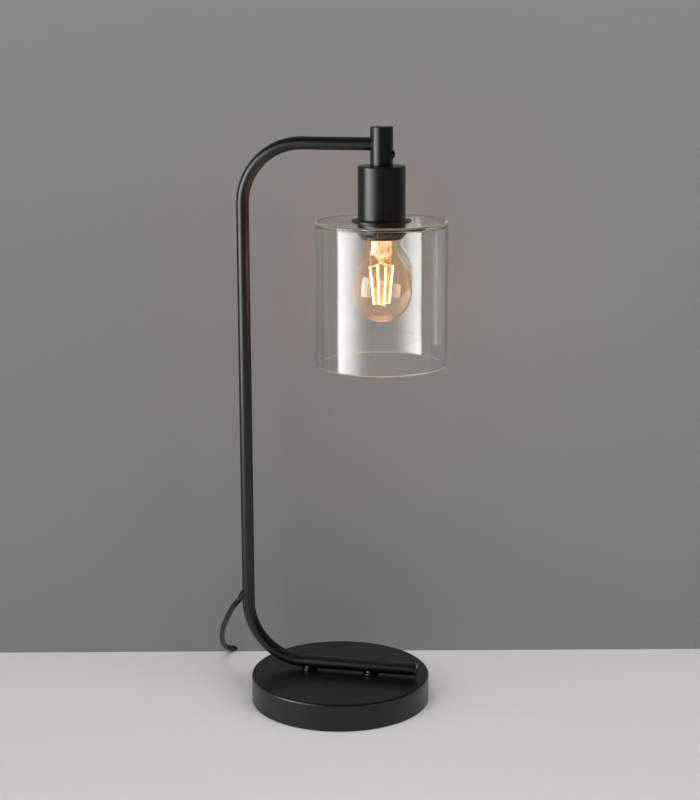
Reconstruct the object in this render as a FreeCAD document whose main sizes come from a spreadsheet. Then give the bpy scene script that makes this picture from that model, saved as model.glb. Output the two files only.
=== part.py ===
import FreeCAD, Part
import math
import os

import Sketcher

# Table lamp with a bent steel stem, a clear glass shade and a filament bulb.
# Millimetres. The origin is the middle of the base's underside, +X runs along the foot tube
# towards the head, +Y is away from the viewer and +Z is up.

SIZES = (
    # Base
    ("base_dia", 180, "outside diameter of the base"),
    ("base_height", 28, "height of the base above the table"),
    ("rim_round", 2.5, "rounding of the base's upper rim"),
    ("cover_wall", 1.5, "sheet thickness of the base cover"),
    ("cover_lift", 0.8, "gap between the cover's lower edge and the table"),
    ("pad_thick", 2, "thickness of the pad under the base"),
    ("weight_gap", 0.5, "gap between the weight and the cover's side"),
    ("weight_plate", 8.5, "thickness of the weight over its hollow"),
    ("weight_ring", 8, "width of the weight's outer ring"),
    # Screws that hold the foot tube to the base
    ("foot_screw_apart", 64, "distance between the two foot screws"),
    ("foot_screw_dia", 5, "thread diameter of the foot screws"),
    ("foot_screw_length", 25, "length of the foot screws under the head"),
    ("foot_head_dia", 9.2, "head diameter of the foot screws"),
    ("foot_head_thick", 3.4, "head height of the foot screws"),
    ("foot_washer_dia", 13, "outside diameter of the washers"),
    ("foot_washer_thick", 1, "thickness of the washers"),
    ("screw_pocket_deep", 10, "depth of the weight's screw pockets"),
    ("spacer_dia", 16.2, "outside diameter of the spacers under the foot tube"),
    ("spacer_height", 4.4, "height of the spacers' saddle ears"),
    ("spacer_gap", 1.85, "gap between the base and the foot tube"),
    ("insert_dia", 8, "diameter of the threaded inserts inside the foot tube"),
    ("insert_height", 7, "height of the threaded inserts"),
    # Bent tube
    ("tube_dia", 12.7, "outside diameter of the stem tube"),
    ("tube_wall", 1.2, "wall of the stem tube"),
    ("bend_radius", 60, "centre-line radius of both bends"),
    ("foot_end_in", 14.2, "distance from the foot tube's end to the base's edge"),
    ("stem_back", 96, "distance of the upright behind the base's middle"),
    ("arm_height", 562.4, "height of the top run's centre line"),
    ("plug_head_long", 3.5, "length of the end plug's head"),
    ("plug_stub_long", 10, "length of the end plug inside the tube"),
    # Cord outlet
    ("gland_height", 100.6, "height where the cord crosses the stem's surface"),
    ("gland_tilt", 45, "angle of the cord outlet below the horizontal"),
    ("gland_out", 2.4, "how far the outlet bush stands out"),
    ("gland_neck_dia", 7.8, "diameter of the bush in the tube's wall"),
    ("gland_lip_dia", 10.6, "diameter of the bush's lip on the tube"),
    ("cord_dia", 5.6, "outside diameter of the mains cord"),
    ("core_dia", 2.2, "diameter of one insulated core"),
    ("core_apart", 2.8, "distance between the two cores"),
    # Head
    ("head_out", 42.5, "distance of the head's axis in front of the base's middle"),
    ("post_dia", 22, "diameter of the turned post"),
    ("post_above", 16.6, "height of the post's top above the arm's centre line"),
    ("post_below", 20.4, "depth of the post's foot below the arm's centre line"),
    ("post_seat_deep", 6.5, "how far the arm goes into the post"),
    ("nipple_dia", 9.9, "outside diameter of the threaded nipple"),
    ("nipple_bore", 7, "bore of the threaded nipple"),
    ("nipple_up", 14, "how far the nipple goes up into the post"),
    ("nipple_down", 19, "how far the nipple reaches down into the cup"),
    ("thread_gap", 0.05, "radial gap of a screwed joint"),
    ("side_screw_drop", 9.4, "distance of the side screw below the arm's centre line"),
    ("side_screw_dia", 4, "thread diameter of the side screw"),
    ("side_head_dia", 8.4, "head diameter of the side screw"),
    ("side_head_thick", 2.6, "head height of the side screw"),
    ("nut_across", 14, "width across flats of the nipple's nut"),
    ("nut_thick", 3.5, "thickness of the nipple's nut"),
    ("cup_dia", 46, "outside diameter of the lampholder cup"),
    ("cup_height", 50.5, "height of the lampholder cup"),
    ("cup_wall", 1.2, "wall of the lampholder cup"),
    ("cup_round", 1.5, "rounding of the cup's upper edge"),
    # Lampholder and shade clamp
    ("collar_dia", 58, "outside diameter of the collar on the glass"),
    ("collar_thick", 2.3, "thickness of the collar under the cup"),
    ("collar_edge", 0.9, "thickness of the collar's outer edge"),
    ("skirt_dia", 41.4, "outside diameter of the lampholder's threaded skirt"),
    ("skirt_wall", 2.2, "wall of the threaded skirt"),
    ("skirt_below", 16.8, "how far the skirt reaches below the glass's top face"),
    ("skirt_above", 24.8, "how far the skirt reaches above the glass's top face"),
    ("ledge_above", 11.8, "height of the ceramic block's seat above the glass's top face"),
    ("ledge_thick", 2, "thickness of the ledge that carries the ceramic block"),
    ("slide_gap", 0.25, "radial gap of pieces that slide over the skirt"),
    ("block_thick", 11, "thickness of the ceramic block"),
    ("holder_cap_height", 20.5, "height of the lampholder's cap"),
    ("holder_cap_wall", 1.6, "wall of the lampholder's cap"),
    ("shell_dia", 26.9, "bore of the lampholder's screw shell"),
    ("shell_wall", 0.45, "wall of the screw shell"),
    ("shell_long", 24.5, "length of the screw shell"),
    ("ring_dia", 48.4, "outside diameter of the shade ring"),
    ("ring_thick", 10.6, "thickness of the shade ring"),
    ("ring_taper", 3.2, "height of the ring's tapered lower edge"),
    ("ring_gap", 0.3, "running gap of the shade ring"),
    ("ring_notches", 12, "number of grip notches round the shade ring"),
    # Glass shade
    ("shade_dia", 128, "outside diameter of the glass shade"),
    ("shade_height", 140, "height of the glass shade"),
    ("shade_wall", 3, "wall of the glass shade"),
    ("shade_top", 3.2, "thickness of the glass shade's top"),
    ("shade_round", 1.3, "rounding of the shade's upper edge"),
    ("shade_inner_round", 2, "rounding inside the shade's upper edge"),
    ("shade_rim", 1.2, "rounding of the shade's lower rim"),
    ("shade_hole", 43.4, "hole in the top of the glass shade"),
    # Bulb
    ("globe_dia", 60, "diameter of the bulb's globe"),
    ("bulb_long", 107, "length of the bulb from the contact to the globe's end"),
    ("bulb_tip_up", 9.3, "height of the bulb's end contact above the glass's top face"),
    ("globe_shoulder", 48.4, "radius of the globe's upper side"),
    ("neck_dia", 29.2, "diameter of the bulb's neck"),
    ("glass_wall", 0.8, "wall of the bulb's glass"),
    ("cap_dia", 26.2, "outside diameter of the bulb's cap"),
    ("cap_wall", 0.4, "wall of the bulb's cap"),
    ("cap_long", 17.5, "length of the cap's cylinder"),
    ("contact_dia", 9, "diameter of the bulb's end contact"),
    ("contact_thick", 1.6, "thickness of the bulb's end contact"),
    ("insulator_thick", 3.4, "thickness of the bulb's black glass insulator"),
    ("filament_dia", 1.8, "diameter of a filament"),
    ("filament_top_out", 11.9, "distance of the filaments' upper ends from the axis"),
    ("filament_low_out", 7.7, "distance of the filaments' lower ends from the axis"),
    ("filament_high", 54.5, "height of the filaments' upper ends above the globe's end"),
    ("filament_low", 17, "height of the filaments' lower ends above the globe's end"),
    ("filament_turn", 31.8, "angle of the first filament round the axis"),
    ("mount_dia", 20, "diameter of the bulb's inner glass mount"),
    ("mount_low", 57.5, "height of the mount's lower end above the globe's end"),
    ("lead_dia", 0.7, "diameter of the bulb's lead wires"),
    # Cord switch
    ("switch_long", 62, "length of the cord switch"),
    ("switch_wide", 26, "width of the cord switch"),
    ("switch_base_high", 9, "height of the switch's lower half"),
    ("switch_top_high", 9.5, "height of the switch's upper half"),
    ("switch_wall", 1.8, "wall of the switch's halves"),
    ("switch_corner", 9, "corner radius of the switch seen from above"),
    ("switch_round", 2.4, "rounding of the switch's upper edge"),
    ("rocker_long", 18, "length of the rocker"),
    ("rocker_wide", 10.5, "width of the rocker"),
    ("rocker_angle", 9, "angle of each half of the rocker's top"),
    ("rocker_proud", 1.2, "height of the rocker's middle above the switch's top"),
    ("rocker_pivot_deep", 3.6, "depth of the rocker's pivot under the switch's top"),
    ("pivot_dia", 2.6, "diameter of the rocker's pivots"),
    ("window_gap", 0.45, "gap round the rocker in its window"),
    ("cheek_thick", 1.3, "thickness of the cheeks that carry the rocker"),
    ("switch_screw_apart", 44, "distance between the switch's screws"),
    ("switch_screw_dia", 2.6, "diameter of the switch's screws"),
    ("switch_head_dia", 5, "head diameter of the switch's screws"),
    ("terminal_apart", 33, "distance between the switch's terminals"),
    ("terminal_long", 8, "length of a switch terminal"),
    # Mains plug
    ("plug_wide", 35.3, "width of the plug at its face"),
    ("plug_high", 13.7, "height of the plug"),
    ("plug_long", 36, "length of the plug's body"),
    ("plug_tail_wide", 13, "width of the plug at its tail"),
    ("pin_apart", 18.6, "distance between the plug's pins"),
    ("pin_dia", 4, "diameter of the plug's pins"),
    ("pin_long", 19, "length of the plug's pins"),
    ("sleeve_long", 10, "length of the insulating sleeve on a pin"),
    ("sleeve_dia", 3.6, "diameter of the insulating sleeve on a pin"),
    ("relief_long", 26, "length of the plug's strain relief"),
    # Coil of put-away cord
    ("coil_mid_dia", 67, "diameter at the middle of the coil's turns"),
    ("coil_loops", 6, "whole turns of the coil, besides the angle from start to leave"),
    ("coil_start", -100, "angle where the cord joins the coil"),
    ("coil_leave", 120, "angle where the cord leaves the coil"),
    ("coil_gap", 0.72, "gap between neighbouring turns"),
    ("tie_thick", 0.6, "thickness of the cord tie"),
    ("tie_wide", 6, "width of the cord tie"),
    ("tie_gap", 0.35, "gap between the cord tie and the turns"),
    ("tie_turn", 20, "angle of the cord tie round the coil"),
    # Places on the table behind the lamp
    ("switch_x", -55.8, "place of the cord switch along the lamp"),
    ("switch_y", 142.9, "place of the cord switch behind the lamp"),
    ("switch_turn", 12.8, "angle of the cord switch"),
    ("coil_x", 35, "place of the coil along the lamp"),
    ("coil_y", 196, "place of the coil behind the lamp"),
    ("plug_x", -27, "place of the plug's cord entry along the lamp"),
    ("plug_y", 210.5, "place of the plug's cord entry behind the lamp"),
    ("plug_turn", 205, "angle of the plug"),
)




class Size:
    """A size: its value now, and the formula on the sheet that it comes from."""

    def __init__(self, value, formula):
        self.value = float(value)
        self.formula = formula

    def __add__(self, other):
        other = as_size(other)
        return Size(self.value + other.value, "(%s + %s)" % (self.formula, other.formula))

    def __sub__(self, other):
        other = as_size(other)
        return Size(self.value - other.value, "(%s - %s)" % (self.formula, other.formula))

    def __mul__(self, other):
        other = as_size(other)
        return Size(self.value * other.value, "(%s * %s)" % (self.formula, other.formula))

    def __truediv__(self, other):
        other = as_size(other)
        return Size(self.value / other.value, "(%s / %s)" % (self.formula, other.formula))

    def __neg__(self):
        return Size(-self.value, "(0 - %s)" % self.formula)

    __radd__ = __add__
    __rmul__ = __mul__

    def __rsub__(self, other):
        return as_size(other) - self


def as_size(number):
    """A plain number as a size."""
    if isinstance(number, Size):
        return number
    return Size(number, repr(float(number)))


def is_zero(amount):
    """True for the plain number nought, which a sketch ties to its own axis."""
    return not isinstance(amount, Size) and amount == 0


class Store:
    """Holds every size of the sheet under its own name."""


def fill_sheet():
    """Writes the driving sizes to the sheet and returns them by name."""
    store = Store()
    for row, (alias, value, meaning) in enumerate(SIZES, start=1):
        sheet.set("A%d" % row, meaning)
        sheet.set("B%d" % row, str(value))
        sheet.setAlias("B%d" % row, alias)
        setattr(store, alias, Size(value, "Sizes." + alias))
    doc.recompute()
    return store


doc = FreeCAD.newDocument("TableLamp")
sheet = doc.addObject("Spreadsheet::Sheet", "Sizes")
S = fill_sheet()

Vector = FreeCAD.Vector
UP = Vector(0, 0, 1)
parts = []


# Helpers that draw and shape

def tie(thing, prop, amount):
    """Sets a property of an object from a size's formula."""
    thing.setExpression(prop, as_size(amount).formula)


def own_plane(body, role):
    """One of the body's own origin planes or axes."""
    for feature in body.Origin.OriginFeatures:
        if feature.Role == role:
            return feature
    raise ValueError(role)


def new_body(name):
    """A body for one sub-part."""
    return doc.addObject("PartDesign::Body", name)


def keep(thing, label):
    """Marks a finished object as a sub-part with its own label."""
    thing.Label = label
    parts.append(thing)
    return thing


def place(thing, along=0, across=0, up=0, axis=UP, angle=0):
    """Places an object by sizes; the angle is in degrees about the axis."""
    rotation = FreeCAD.Rotation(axis, as_size(angle).value)
    thing.Placement = FreeCAD.Placement(Vector(0, 0, 0), rotation)
    tie(thing, "Placement.Base.x", along)
    tie(thing, "Placement.Base.y", across)
    tie(thing, "Placement.Base.z", up)


def new_sketch(body, name, plane, lift=0):
    """An empty sketch on one of the body's own planes, lifted along the plane's normal."""
    sketch = body.newObject("Sketcher::SketchObject", name)
    sketch.AttachmentSupport = [(own_plane(body, plane), "")]
    sketch.MapMode = "FlatFace"
    if not is_zero(lift):
        tie(sketch, "AttachmentOffset.Base.z", lift)
    return sketch


def fix(sketch, kind, names, amount):
    """Adds a constraint whose value follows a size."""
    number = sketch.addConstraint(Sketcher.Constraint(kind, *names, as_size(amount).value))
    label = "size%d" % number
    sketch.renameConstraint(number, label)
    tie(sketch, "Constraints." + label, amount)


def pin_point(sketch, piece, end, across, up):
    """Fixes one end of a sketch line by its distances from the origin."""
    if is_zero(across):
        sketch.addConstraint(Sketcher.Constraint("PointOnObject", piece, end, -2))
    else:
        fix(sketch, "DistanceX", (-1, 1, piece, end), across)
    if is_zero(up):
        sketch.addConstraint(Sketcher.Constraint("PointOnObject", piece, end, -1))
    else:
        fix(sketch, "DistanceY", (-1, 1, piece, end), up)


def arc_between(start, end, radius):
    """The short arc from start to end; a negative radius goes clockwise."""
    middle = (start + end) * 0.5
    chord = end - start
    rise = math.sqrt(max(radius * radius - chord.Length * chord.Length / 4, 0))
    side = Vector(-chord.y, chord.x, 0).normalize()
    centre = middle + side * (rise if radius > 0 else -rise)
    first, last = (start, end) if radius > 0 else (end, start)
    angles = [math.atan2(point.y - centre.y, point.x - centre.x) for point in (first, last)]
    return Part.ArcOfCircle(Part.Circle(centre, UP, abs(radius)), *angles)


def draw(sketch, points):
    """Draws a closed outline, each point fixed by its two sizes.

    A point is (across, up), or (across, up, radius) where an arc leads to it.
    """
    spots = [Vector(as_size(p[0]).value, as_size(p[1]).value, 0) for p in points]
    ends = []
    first = len(sketch.Geometry)
    for number, point in enumerate(points):
        start, end = spots[number - 1], spots[number]
        if len(point) == 3:
            radius = as_size(point[2]).value
            piece = sketch.addGeometry(arc_between(start, end, radius), False)
            fix(sketch, "Radius", (piece,), point[2] if radius > 0 else -as_size(point[2]))
            ends.append((1, 2) if radius > 0 else (2, 1))
        else:
            sketch.addGeometry(Part.LineSegment(start, end), False)
            ends.append((1, 2))
    count = len(points)
    for number, point in enumerate(points):
        after = (number + 1) % count
        joint = (first + number, ends[number][1], first + after, ends[after][0])
        sketch.addConstraint(Sketcher.Constraint("Coincident", *joint))
        pin_point(sketch, first + number, ends[number][1], point[0], point[1])
    return sketch


def draw_circle(sketch, across, up, diameter):
    """Draws a circle fixed by its centre and diameter."""
    spot = Vector(as_size(across).value, as_size(up).value, 0)
    circle = Part.Circle(spot, UP, as_size(diameter).value / 2)
    piece = sketch.addGeometry(circle, False)
    fix(sketch, "Diameter", (piece,), diameter)
    pin_point(sketch, piece, 3, across, up)
    return sketch


def outline(body, name, plane, points, lift=0):
    """A sketch with one closed outline."""
    return draw(new_sketch(body, name, plane, lift), points)


def discs(body, name, plane, circles, lift=0):
    """A sketch with circles, each (across, up, diameter)."""
    sketch = new_sketch(body, name, plane, lift)
    for across, up, diameter in circles:
        draw_circle(sketch, across, up, diameter)
    return sketch


def turn(body, name, points):
    """Revolves an outline of (radius, height) about the body's upright axis."""
    feature = body.newObject("PartDesign::Revolution", name)
    feature.Profile = outline(body, name + "Outline", "XZ_Plane", points)
    feature.ReferenceAxis = (feature.Profile[0], ["V_Axis"])
    feature.Angle = 360
    return feature


def turned(name, points):
    """A body made by one turned outline."""
    body = new_body(name)
    turn(body, name + "Turned", points)
    return body


def pad(body, name, sketch, length, centred=False):
    """Extrudes a sketch along its normal."""
    feature = body.newObject("PartDesign::Pad", name)
    feature.Profile = sketch
    tie(feature, "Length", length)
    feature.Midplane = centred
    return feature


def cut(body, name, sketch, depth, forward=True, centred=False):
    """Cuts a sketch out of the body and makes sure that the cut took material away."""
    doc.recompute()
    before = body.Shape.Volume
    feature = body.newObject("PartDesign::Pocket", name)
    feature.Profile = sketch
    tie(feature, "Length", depth)
    feature.Midplane = centred
    feature.Reversed = forward
    doc.recompute()
    if body.Shape.Volume > before - 1e-3:
        raise ValueError("%s cuts nothing" % name)
    return feature


def solid(kind, name, along=0, across=0, up=0, axis=UP, angle=0, **sizes):
    """A Part primitive with its sizes and place tied to the sheet."""
    thing = doc.addObject("Part::" + kind, name)
    for prop, amount in sizes.items():
        tie(thing, prop, amount)
    place(thing, along, across, up, axis, angle)
    return thing


def minus(name, base, tool):
    """One solid cut by another."""
    result = doc.addObject("Part::Cut", name)
    result.Base = base
    result.Tool = tool
    return result


def joined(name, things):
    """Solids fused to one."""
    result = doc.addObject("Part::MultiFuse", name)
    result.Shapes = things
    return result


def mirrored_pair(name, source, normal):
    """A group of two: an object and its mirror image."""
    image = doc.addObject("Part::Mirroring", name + "Image")
    image.Source = source
    image.Normal = normal
    group = doc.addObject("Part::Compound", name)
    group.Links = [source, image]
    return group


def shape_part(name, shape):
    """A sub-part whose shape is worked out here."""
    thing = doc.addObject("Part::Feature", name)
    thing.Shape = shape
    return thing


def hexagon(across_flats):
    """The corners of a hexagon, two flats square to the second axis."""
    half = as_size(across_flats) / 2
    point = half * (2 / math.sqrt(3))
    return [(point, 0), (point / 2, half), (-(point / 2), half),
            (-point, 0), (-(point / 2), -half), (point / 2, -half)]


# Heights and lines that several pieces share

FOOT_LINE = S.base_height + S.spacer_gap + S.tube_dia / 2
FOOT_END = S.base_dia / 2 - S.foot_end_in
TUBE_BORE = S.tube_dia - 2 * S.tube_wall
HEAD_X = S.head_out
POST_FOOT = S.arm_height - S.post_below
POST_TOP = S.arm_height + S.post_above
CUP_RIM = POST_FOOT - S.cup_height
GLASS_TOP = CUP_RIM - S.collar_thick
SKIRT_TOP = GLASS_TOP + S.skirt_above
SKIRT_END = GLASS_TOP - S.skirt_below
LEDGE = GLASS_TOP + S.ledge_above
SKIRT_R = S.skirt_dia / 2
BULB_TIP = GLASS_TOP + S.bulb_tip_up
GLOBE_END = BULB_TIP - S.bulb_long
GLOBE_MIDDLE = GLOBE_END + S.globe_dia / 2
FOOT_SCREW_X = S.foot_screw_apart / 2
SEAT_Z = S.pad_thick + S.screw_pocket_deep
CLEAR_HOLE = S.foot_screw_dia + 0.5


# Base: pressed cover, cast weight, pad and fasteners

def make_base_cover():
    """A pressed steel cap with a rounded rim, open below."""
    outside = S.base_dia / 2
    inside = outside - S.cover_wall
    bend = S.rim_round - S.cover_wall
    body = turned("BaseCover", [
        (0, S.base_height - S.cover_wall),
        (outside - S.rim_round, S.base_height - S.cover_wall),
        (inside, S.base_height - S.rim_round, -bend),
        (inside, S.cover_lift),
        (outside, S.cover_lift),
        (outside, S.base_height - S.rim_round),
        (outside - S.rim_round, S.base_height, S.rim_round),
        (0, S.base_height),
    ])
    holes = discs(body, "CoverHoles", "XY_Plane",
                  [(FOOT_SCREW_X, 0, CLEAR_HOLE), (-FOOT_SCREW_X, 0, CLEAR_HOLE)], S.base_height)
    cut(body, "CoverDrilled", holes, S.cover_wall * 2, forward=False)
    keep(body, "base_cover")


def make_base_weight():
    """The cast disc that keeps the lamp upright, hollowed below round its middle hub."""
    outside = S.base_dia / 2 - S.cover_wall - S.weight_gap
    top = S.base_height - S.cover_wall
    hub = FOOT_SCREW_X + S.foot_washer_dia
    ring = outside - S.weight_ring
    roof = top - S.weight_plate
    body = turned("BaseWeight", [
        (0, S.pad_thick),
        (hub, S.pad_thick),
        (hub, roof - 2),
        (hub + 2, roof, -2),
        (ring - 2, roof),
        (ring, roof - 2, -2),
        (ring, S.pad_thick),
        (outside - 1, S.pad_thick),
        (outside, S.pad_thick + 1),
        (outside, top - S.rim_round),
        (outside - S.rim_round, top),
        (0, top),
    ])
    holes = discs(body, "WeightHoles", "XY_Plane",
                  [(FOOT_SCREW_X, 0, CLEAR_HOLE), (-FOOT_SCREW_X, 0, CLEAR_HOLE)])
    cut(body, "WeightDrilled", holes, S.base_height)
    pocket = S.foot_washer_dia + 1
    pockets = discs(body, "WeightPockets", "XY_Plane",
                    [(FOOT_SCREW_X, 0, pocket), (-FOOT_SCREW_X, 0, pocket)])
    cut(body, "WeightPocketed", pockets, SEAT_Z)
    keep(body, "base_weight")


def make_base_pad():
    """The soft pad that the lamp stands on."""
    outside = S.base_dia / 2 - S.cover_wall - S.weight_gap
    keep(turned("BasePad", [
        (0, 0), (outside - 0.5, 0), (outside, 0.5), (outside, S.pad_thick), (0, S.pad_thick),
    ]), "base_pad")


def make_foot_screws():
    """Two pan-head screws with hexagon sockets, put in from below."""
    under_head = SEAT_Z - S.foot_washer_thick
    head_end = under_head - S.foot_head_thick
    head = S.foot_head_dia / 2
    shank = S.foot_screw_dia / 2 - S.thread_gap
    tip = under_head + S.foot_screw_length
    body = turned("FootScrew", [
        (0, head_end), (head - 1.2, head_end), (head, head_end + 1.2, S.foot_head_dia / 4),
        (head, under_head), (shank, under_head), (shank, tip - 0.7), (shank - 0.7, tip), (0, tip),
    ])
    socket = outline(body, "FootScrewSocket", "XY_Plane", hexagon(3), head_end)
    cut(body, "FootScrewSocketed", socket, 2)
    place(body, along=FOOT_SCREW_X)
    keep(mirrored_pair("FootScrews", body, Vector(1, 0, 0)), "base_screws")


def make_foot_washers():
    """Two plain washers under the screw heads."""
    low = SEAT_Z - S.foot_washer_thick
    outside = S.foot_washer_dia / 2
    inside = CLEAR_HOLE / 2
    body = turned("FootWasher", [
        (inside, low), (outside, low), (outside, SEAT_Z), (inside, SEAT_Z),
    ])
    place(body, along=FOOT_SCREW_X)
    keep(mirrored_pair("FootWashers", body, Vector(1, 0, 0)), "base_washers")


def make_foot_spacers():
    """Two polished spacers whose saddles fit the underside of the foot tube."""
    outside = S.spacer_dia / 2
    inside = CLEAR_HOLE / 2
    low = S.base_height
    high = low + S.spacer_height
    waist = outside - 0.6
    neck = outside - 1.8
    body = turned("FootSpacer", [
        (inside, low), (waist, low), (outside, low + 0.7, 1.2), (outside, low + 1.1),
        (waist, low + 1.8, 1.2), (neck, low + 1.8), (neck, high - 0.8), (neck - 0.5, high, 1.5),
        (inside, high),
    ])
    saddle = discs(body, "SpacerSaddle", "YZ_Plane", [(0, FOOT_LINE, S.tube_dia)])
    cut(body, "SpacerSaddled", saddle, S.spacer_dia * 2, centred=True)
    place(body, along=FOOT_SCREW_X)
    keep(mirrored_pair("FootSpacers", body, Vector(1, 0, 0)), "foot_spacers")


def make_thread_inserts():
    """Two threaded inserts brazed to the inside of the foot tube."""
    low = FOOT_LINE - TUBE_BORE / 2
    blank = solid("Cylinder", "InsertBlank", FOOT_SCREW_X, 0, low - 1,
                  Radius=S.insert_dia / 2, Height=S.insert_height + 1)
    bore_fit = solid("Cylinder", "InsertFit", 0, 0, FOOT_LINE, Vector(0, 1, 0), 90,
                     Radius=TUBE_BORE / 2, Height=S.base_dia)
    seated = doc.addObject("Part::Common", "InsertSeated")
    seated.Base = blank
    seated.Tool = bore_fit
    thread = solid("Cylinder", "InsertThread", FOOT_SCREW_X, 0, S.base_height,
                   Radius=S.foot_screw_dia / 2, Height=S.tube_dia * 2)
    insert = minus("InsertBored", seated, thread)
    keep(mirrored_pair("ThreadInserts", insert, Vector(1, 0, 0)), "thread_inserts")


# Stem: one bent tube, its end plug, the cord outlet and the two cores inside it

def stem_route(body, name, first, last, back, low, high, bend, lift=0):
    """A route of straight runs and two bends in the lamp's upright plane."""
    sketch = new_sketch(body, name, "XZ_Plane", lift)
    corners = [(first, low), (-back + bend, low), (-back, low + bend), (-back, high - bend),
               (-back + bend, high), (last, high)]
    spots = [Vector(as_size(x).value, as_size(z).value, 0) for x, z in corners]
    radius = as_size(bend).value
    for number in range(5):
        start, end = spots[number], spots[number + 1]
        if number % 2 == 0:
            sketch.addGeometry(Part.LineSegment(start, end), False)
        else:
            piece = sketch.addGeometry(arc_between(start, end, -radius), False)
            fix(sketch, "Radius", (piece,), bend)
    ends = [(1, 2), (2, 1), (1, 2), (2, 1), (1, 2)]
    pin_point(sketch, 0, 1, *corners[0])
    for number in range(5):
        if number < 4:
            joint = (number, ends[number][1], number + 1, ends[number + 1][0])
            sketch.addConstraint(Sketcher.Constraint("Coincident", *joint))
        pin_point(sketch, number, ends[number][1], *corners[number + 1])
    return sketch


def sweep(body, name, profile, route, edges):
    """Sweeps a sketch along a route."""
    feature = body.newObject("PartDesign::AdditivePipe", name)
    feature.Profile = profile
    feature.Spine = (route, ["Edge%d" % (number + 1) for number in range(edges)])
    return feature


def make_stem_tube():
    """The bent tube: foot run, upright and arm, drilled for screws and cord."""
    body = new_body("StemTube")
    profile = discs(body, "TubeSection", "YZ_Plane",
                    [(0, FOOT_LINE, S.tube_dia), (0, FOOT_LINE, TUBE_BORE)], FOOT_END)
    arm_end = HEAD_X - S.post_dia / 2 + S.post_seat_deep
    route = stem_route(body, "TubeRoute", FOOT_END, arm_end, S.stem_back, FOOT_LINE,
                       S.arm_height, S.bend_radius)
    sweep(body, "TubeBent", profile, route, 5)
    holes = discs(body, "TubeScrewHoles", "XY_Plane",
                  [(FOOT_SCREW_X, 0, CLEAR_HOLE), (-FOOT_SCREW_X, 0, CLEAR_HOLE)], FOOT_LINE)
    cut(body, "TubeDrilled", holes, S.tube_dia, forward=False)
    outlet = discs(body, "TubeOutlet", "XY_Plane", [(0, 0, S.gland_neck_dia + 0.1)])
    spin = FreeCAD.Rotation(Vector(0, 1, 0), -90 - S.gland_tilt.value)
    outlet.AttachmentOffset = FreeCAD.Placement(Vector(0, 0, 0), spin)
    tie(outlet, "AttachmentOffset.Base.x", -S.stem_back - S.tube_dia / 2)
    tie(outlet, "AttachmentOffset.Base.z", S.gland_height)
    cut(body, "TubeOutletCut", outlet, S.tube_dia / 2, centred=True)
    keep(body, "stem_tube")


def make_end_plug():
    """The domed plug that closes the foot tube, with a ribbed stub."""
    head = S.tube_dia / 2
    stub = TUBE_BORE / 2 - 0.05
    rib = 1.5
    points = [(0, -S.plug_stub_long), (stub - 0.8, -S.plug_stub_long)]
    for number in range(3):
        start = -S.plug_stub_long + 0.8 + number * 2 * rib
        points += [(stub, start), (stub, start + rib), (stub - 0.5, start + rib),
                   (stub - 0.5, start + 2 * rib - 0.3)]
    points += [(stub - 0.5, 0), (head, 0), (head, S.plug_head_long - 1.5),
               (head - 1.5, S.plug_head_long, 1.5), (0, S.plug_head_long)]
    body = turned("EndPlug", points)
    place(body, FOOT_END, 0, FOOT_LINE, Vector(0, 1, 0), 90)
    keep(body, "tube_end_plug")


def outlet_direction():
    """The direction in which the cord leaves the stem."""
    tilt = math.radians(S.gland_tilt.value)
    return Vector(-math.cos(tilt), 0, -math.sin(tilt))


def outlet_point():
    """The point where the cord crosses the stem's surface."""
    return Vector(-S.stem_back.value - S.tube_dia.value / 2, 0, S.gland_height.value)


GLAND_IN = 2.2


def make_cord_gland():
    """The rubber bush: a lip saddled on the tube, and a neck through its wall."""
    x = -S.stem_back - S.tube_dia / 2
    tilt = -90 - S.gland_tilt.value
    axis = Vector(0, 1, 0)
    inward = outlet_direction() * -1
    lip_deep = 6
    lip = solid("Cone", "GlandLip", x + lip_deep * inward.x, 0,
                S.gland_height + lip_deep * inward.z, axis, tilt,
                Radius1=S.gland_lip_dia / 2 + 0.9, Radius2=S.gland_neck_dia / 2 + 0.1,
                Height=S.gland_out + lip_deep)
    tube = solid("Cylinder", "GlandTube", -S.stem_back, 0, S.gland_height - S.tube_dia * 2,
                 Radius=S.tube_dia / 2, Height=S.tube_dia * 4)
    front = solid("Box", "GlandFront", -S.stem_back, -S.tube_dia, S.gland_height - S.tube_dia * 2,
                  Length=S.tube_dia, Width=S.tube_dia * 2, Height=S.tube_dia * 4)
    saddled = minus("GlandSaddled", lip, joined("GlandTubeBlock", [tube, front]))
    neck = solid("Cylinder", "GlandNeck", x + GLAND_IN * inward.x, 0,
                 S.gland_height + GLAND_IN * inward.z, axis, tilt,
                 Radius=S.gland_neck_dia / 2, Height=S.gland_out + GLAND_IN)
    bore = solid("Cylinder", "GlandBore", x + lip_deep * inward.x, 0,
                 S.gland_height + lip_deep * inward.z, axis, tilt,
                 Radius=S.cord_dia / 2 + S.thread_gap, Height=S.gland_out + lip_deep * 2)
    bush = minus("CordGland", joined("GlandBush", [saddled, neck]), bore)
    keep(bush, "cord_gland")


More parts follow.
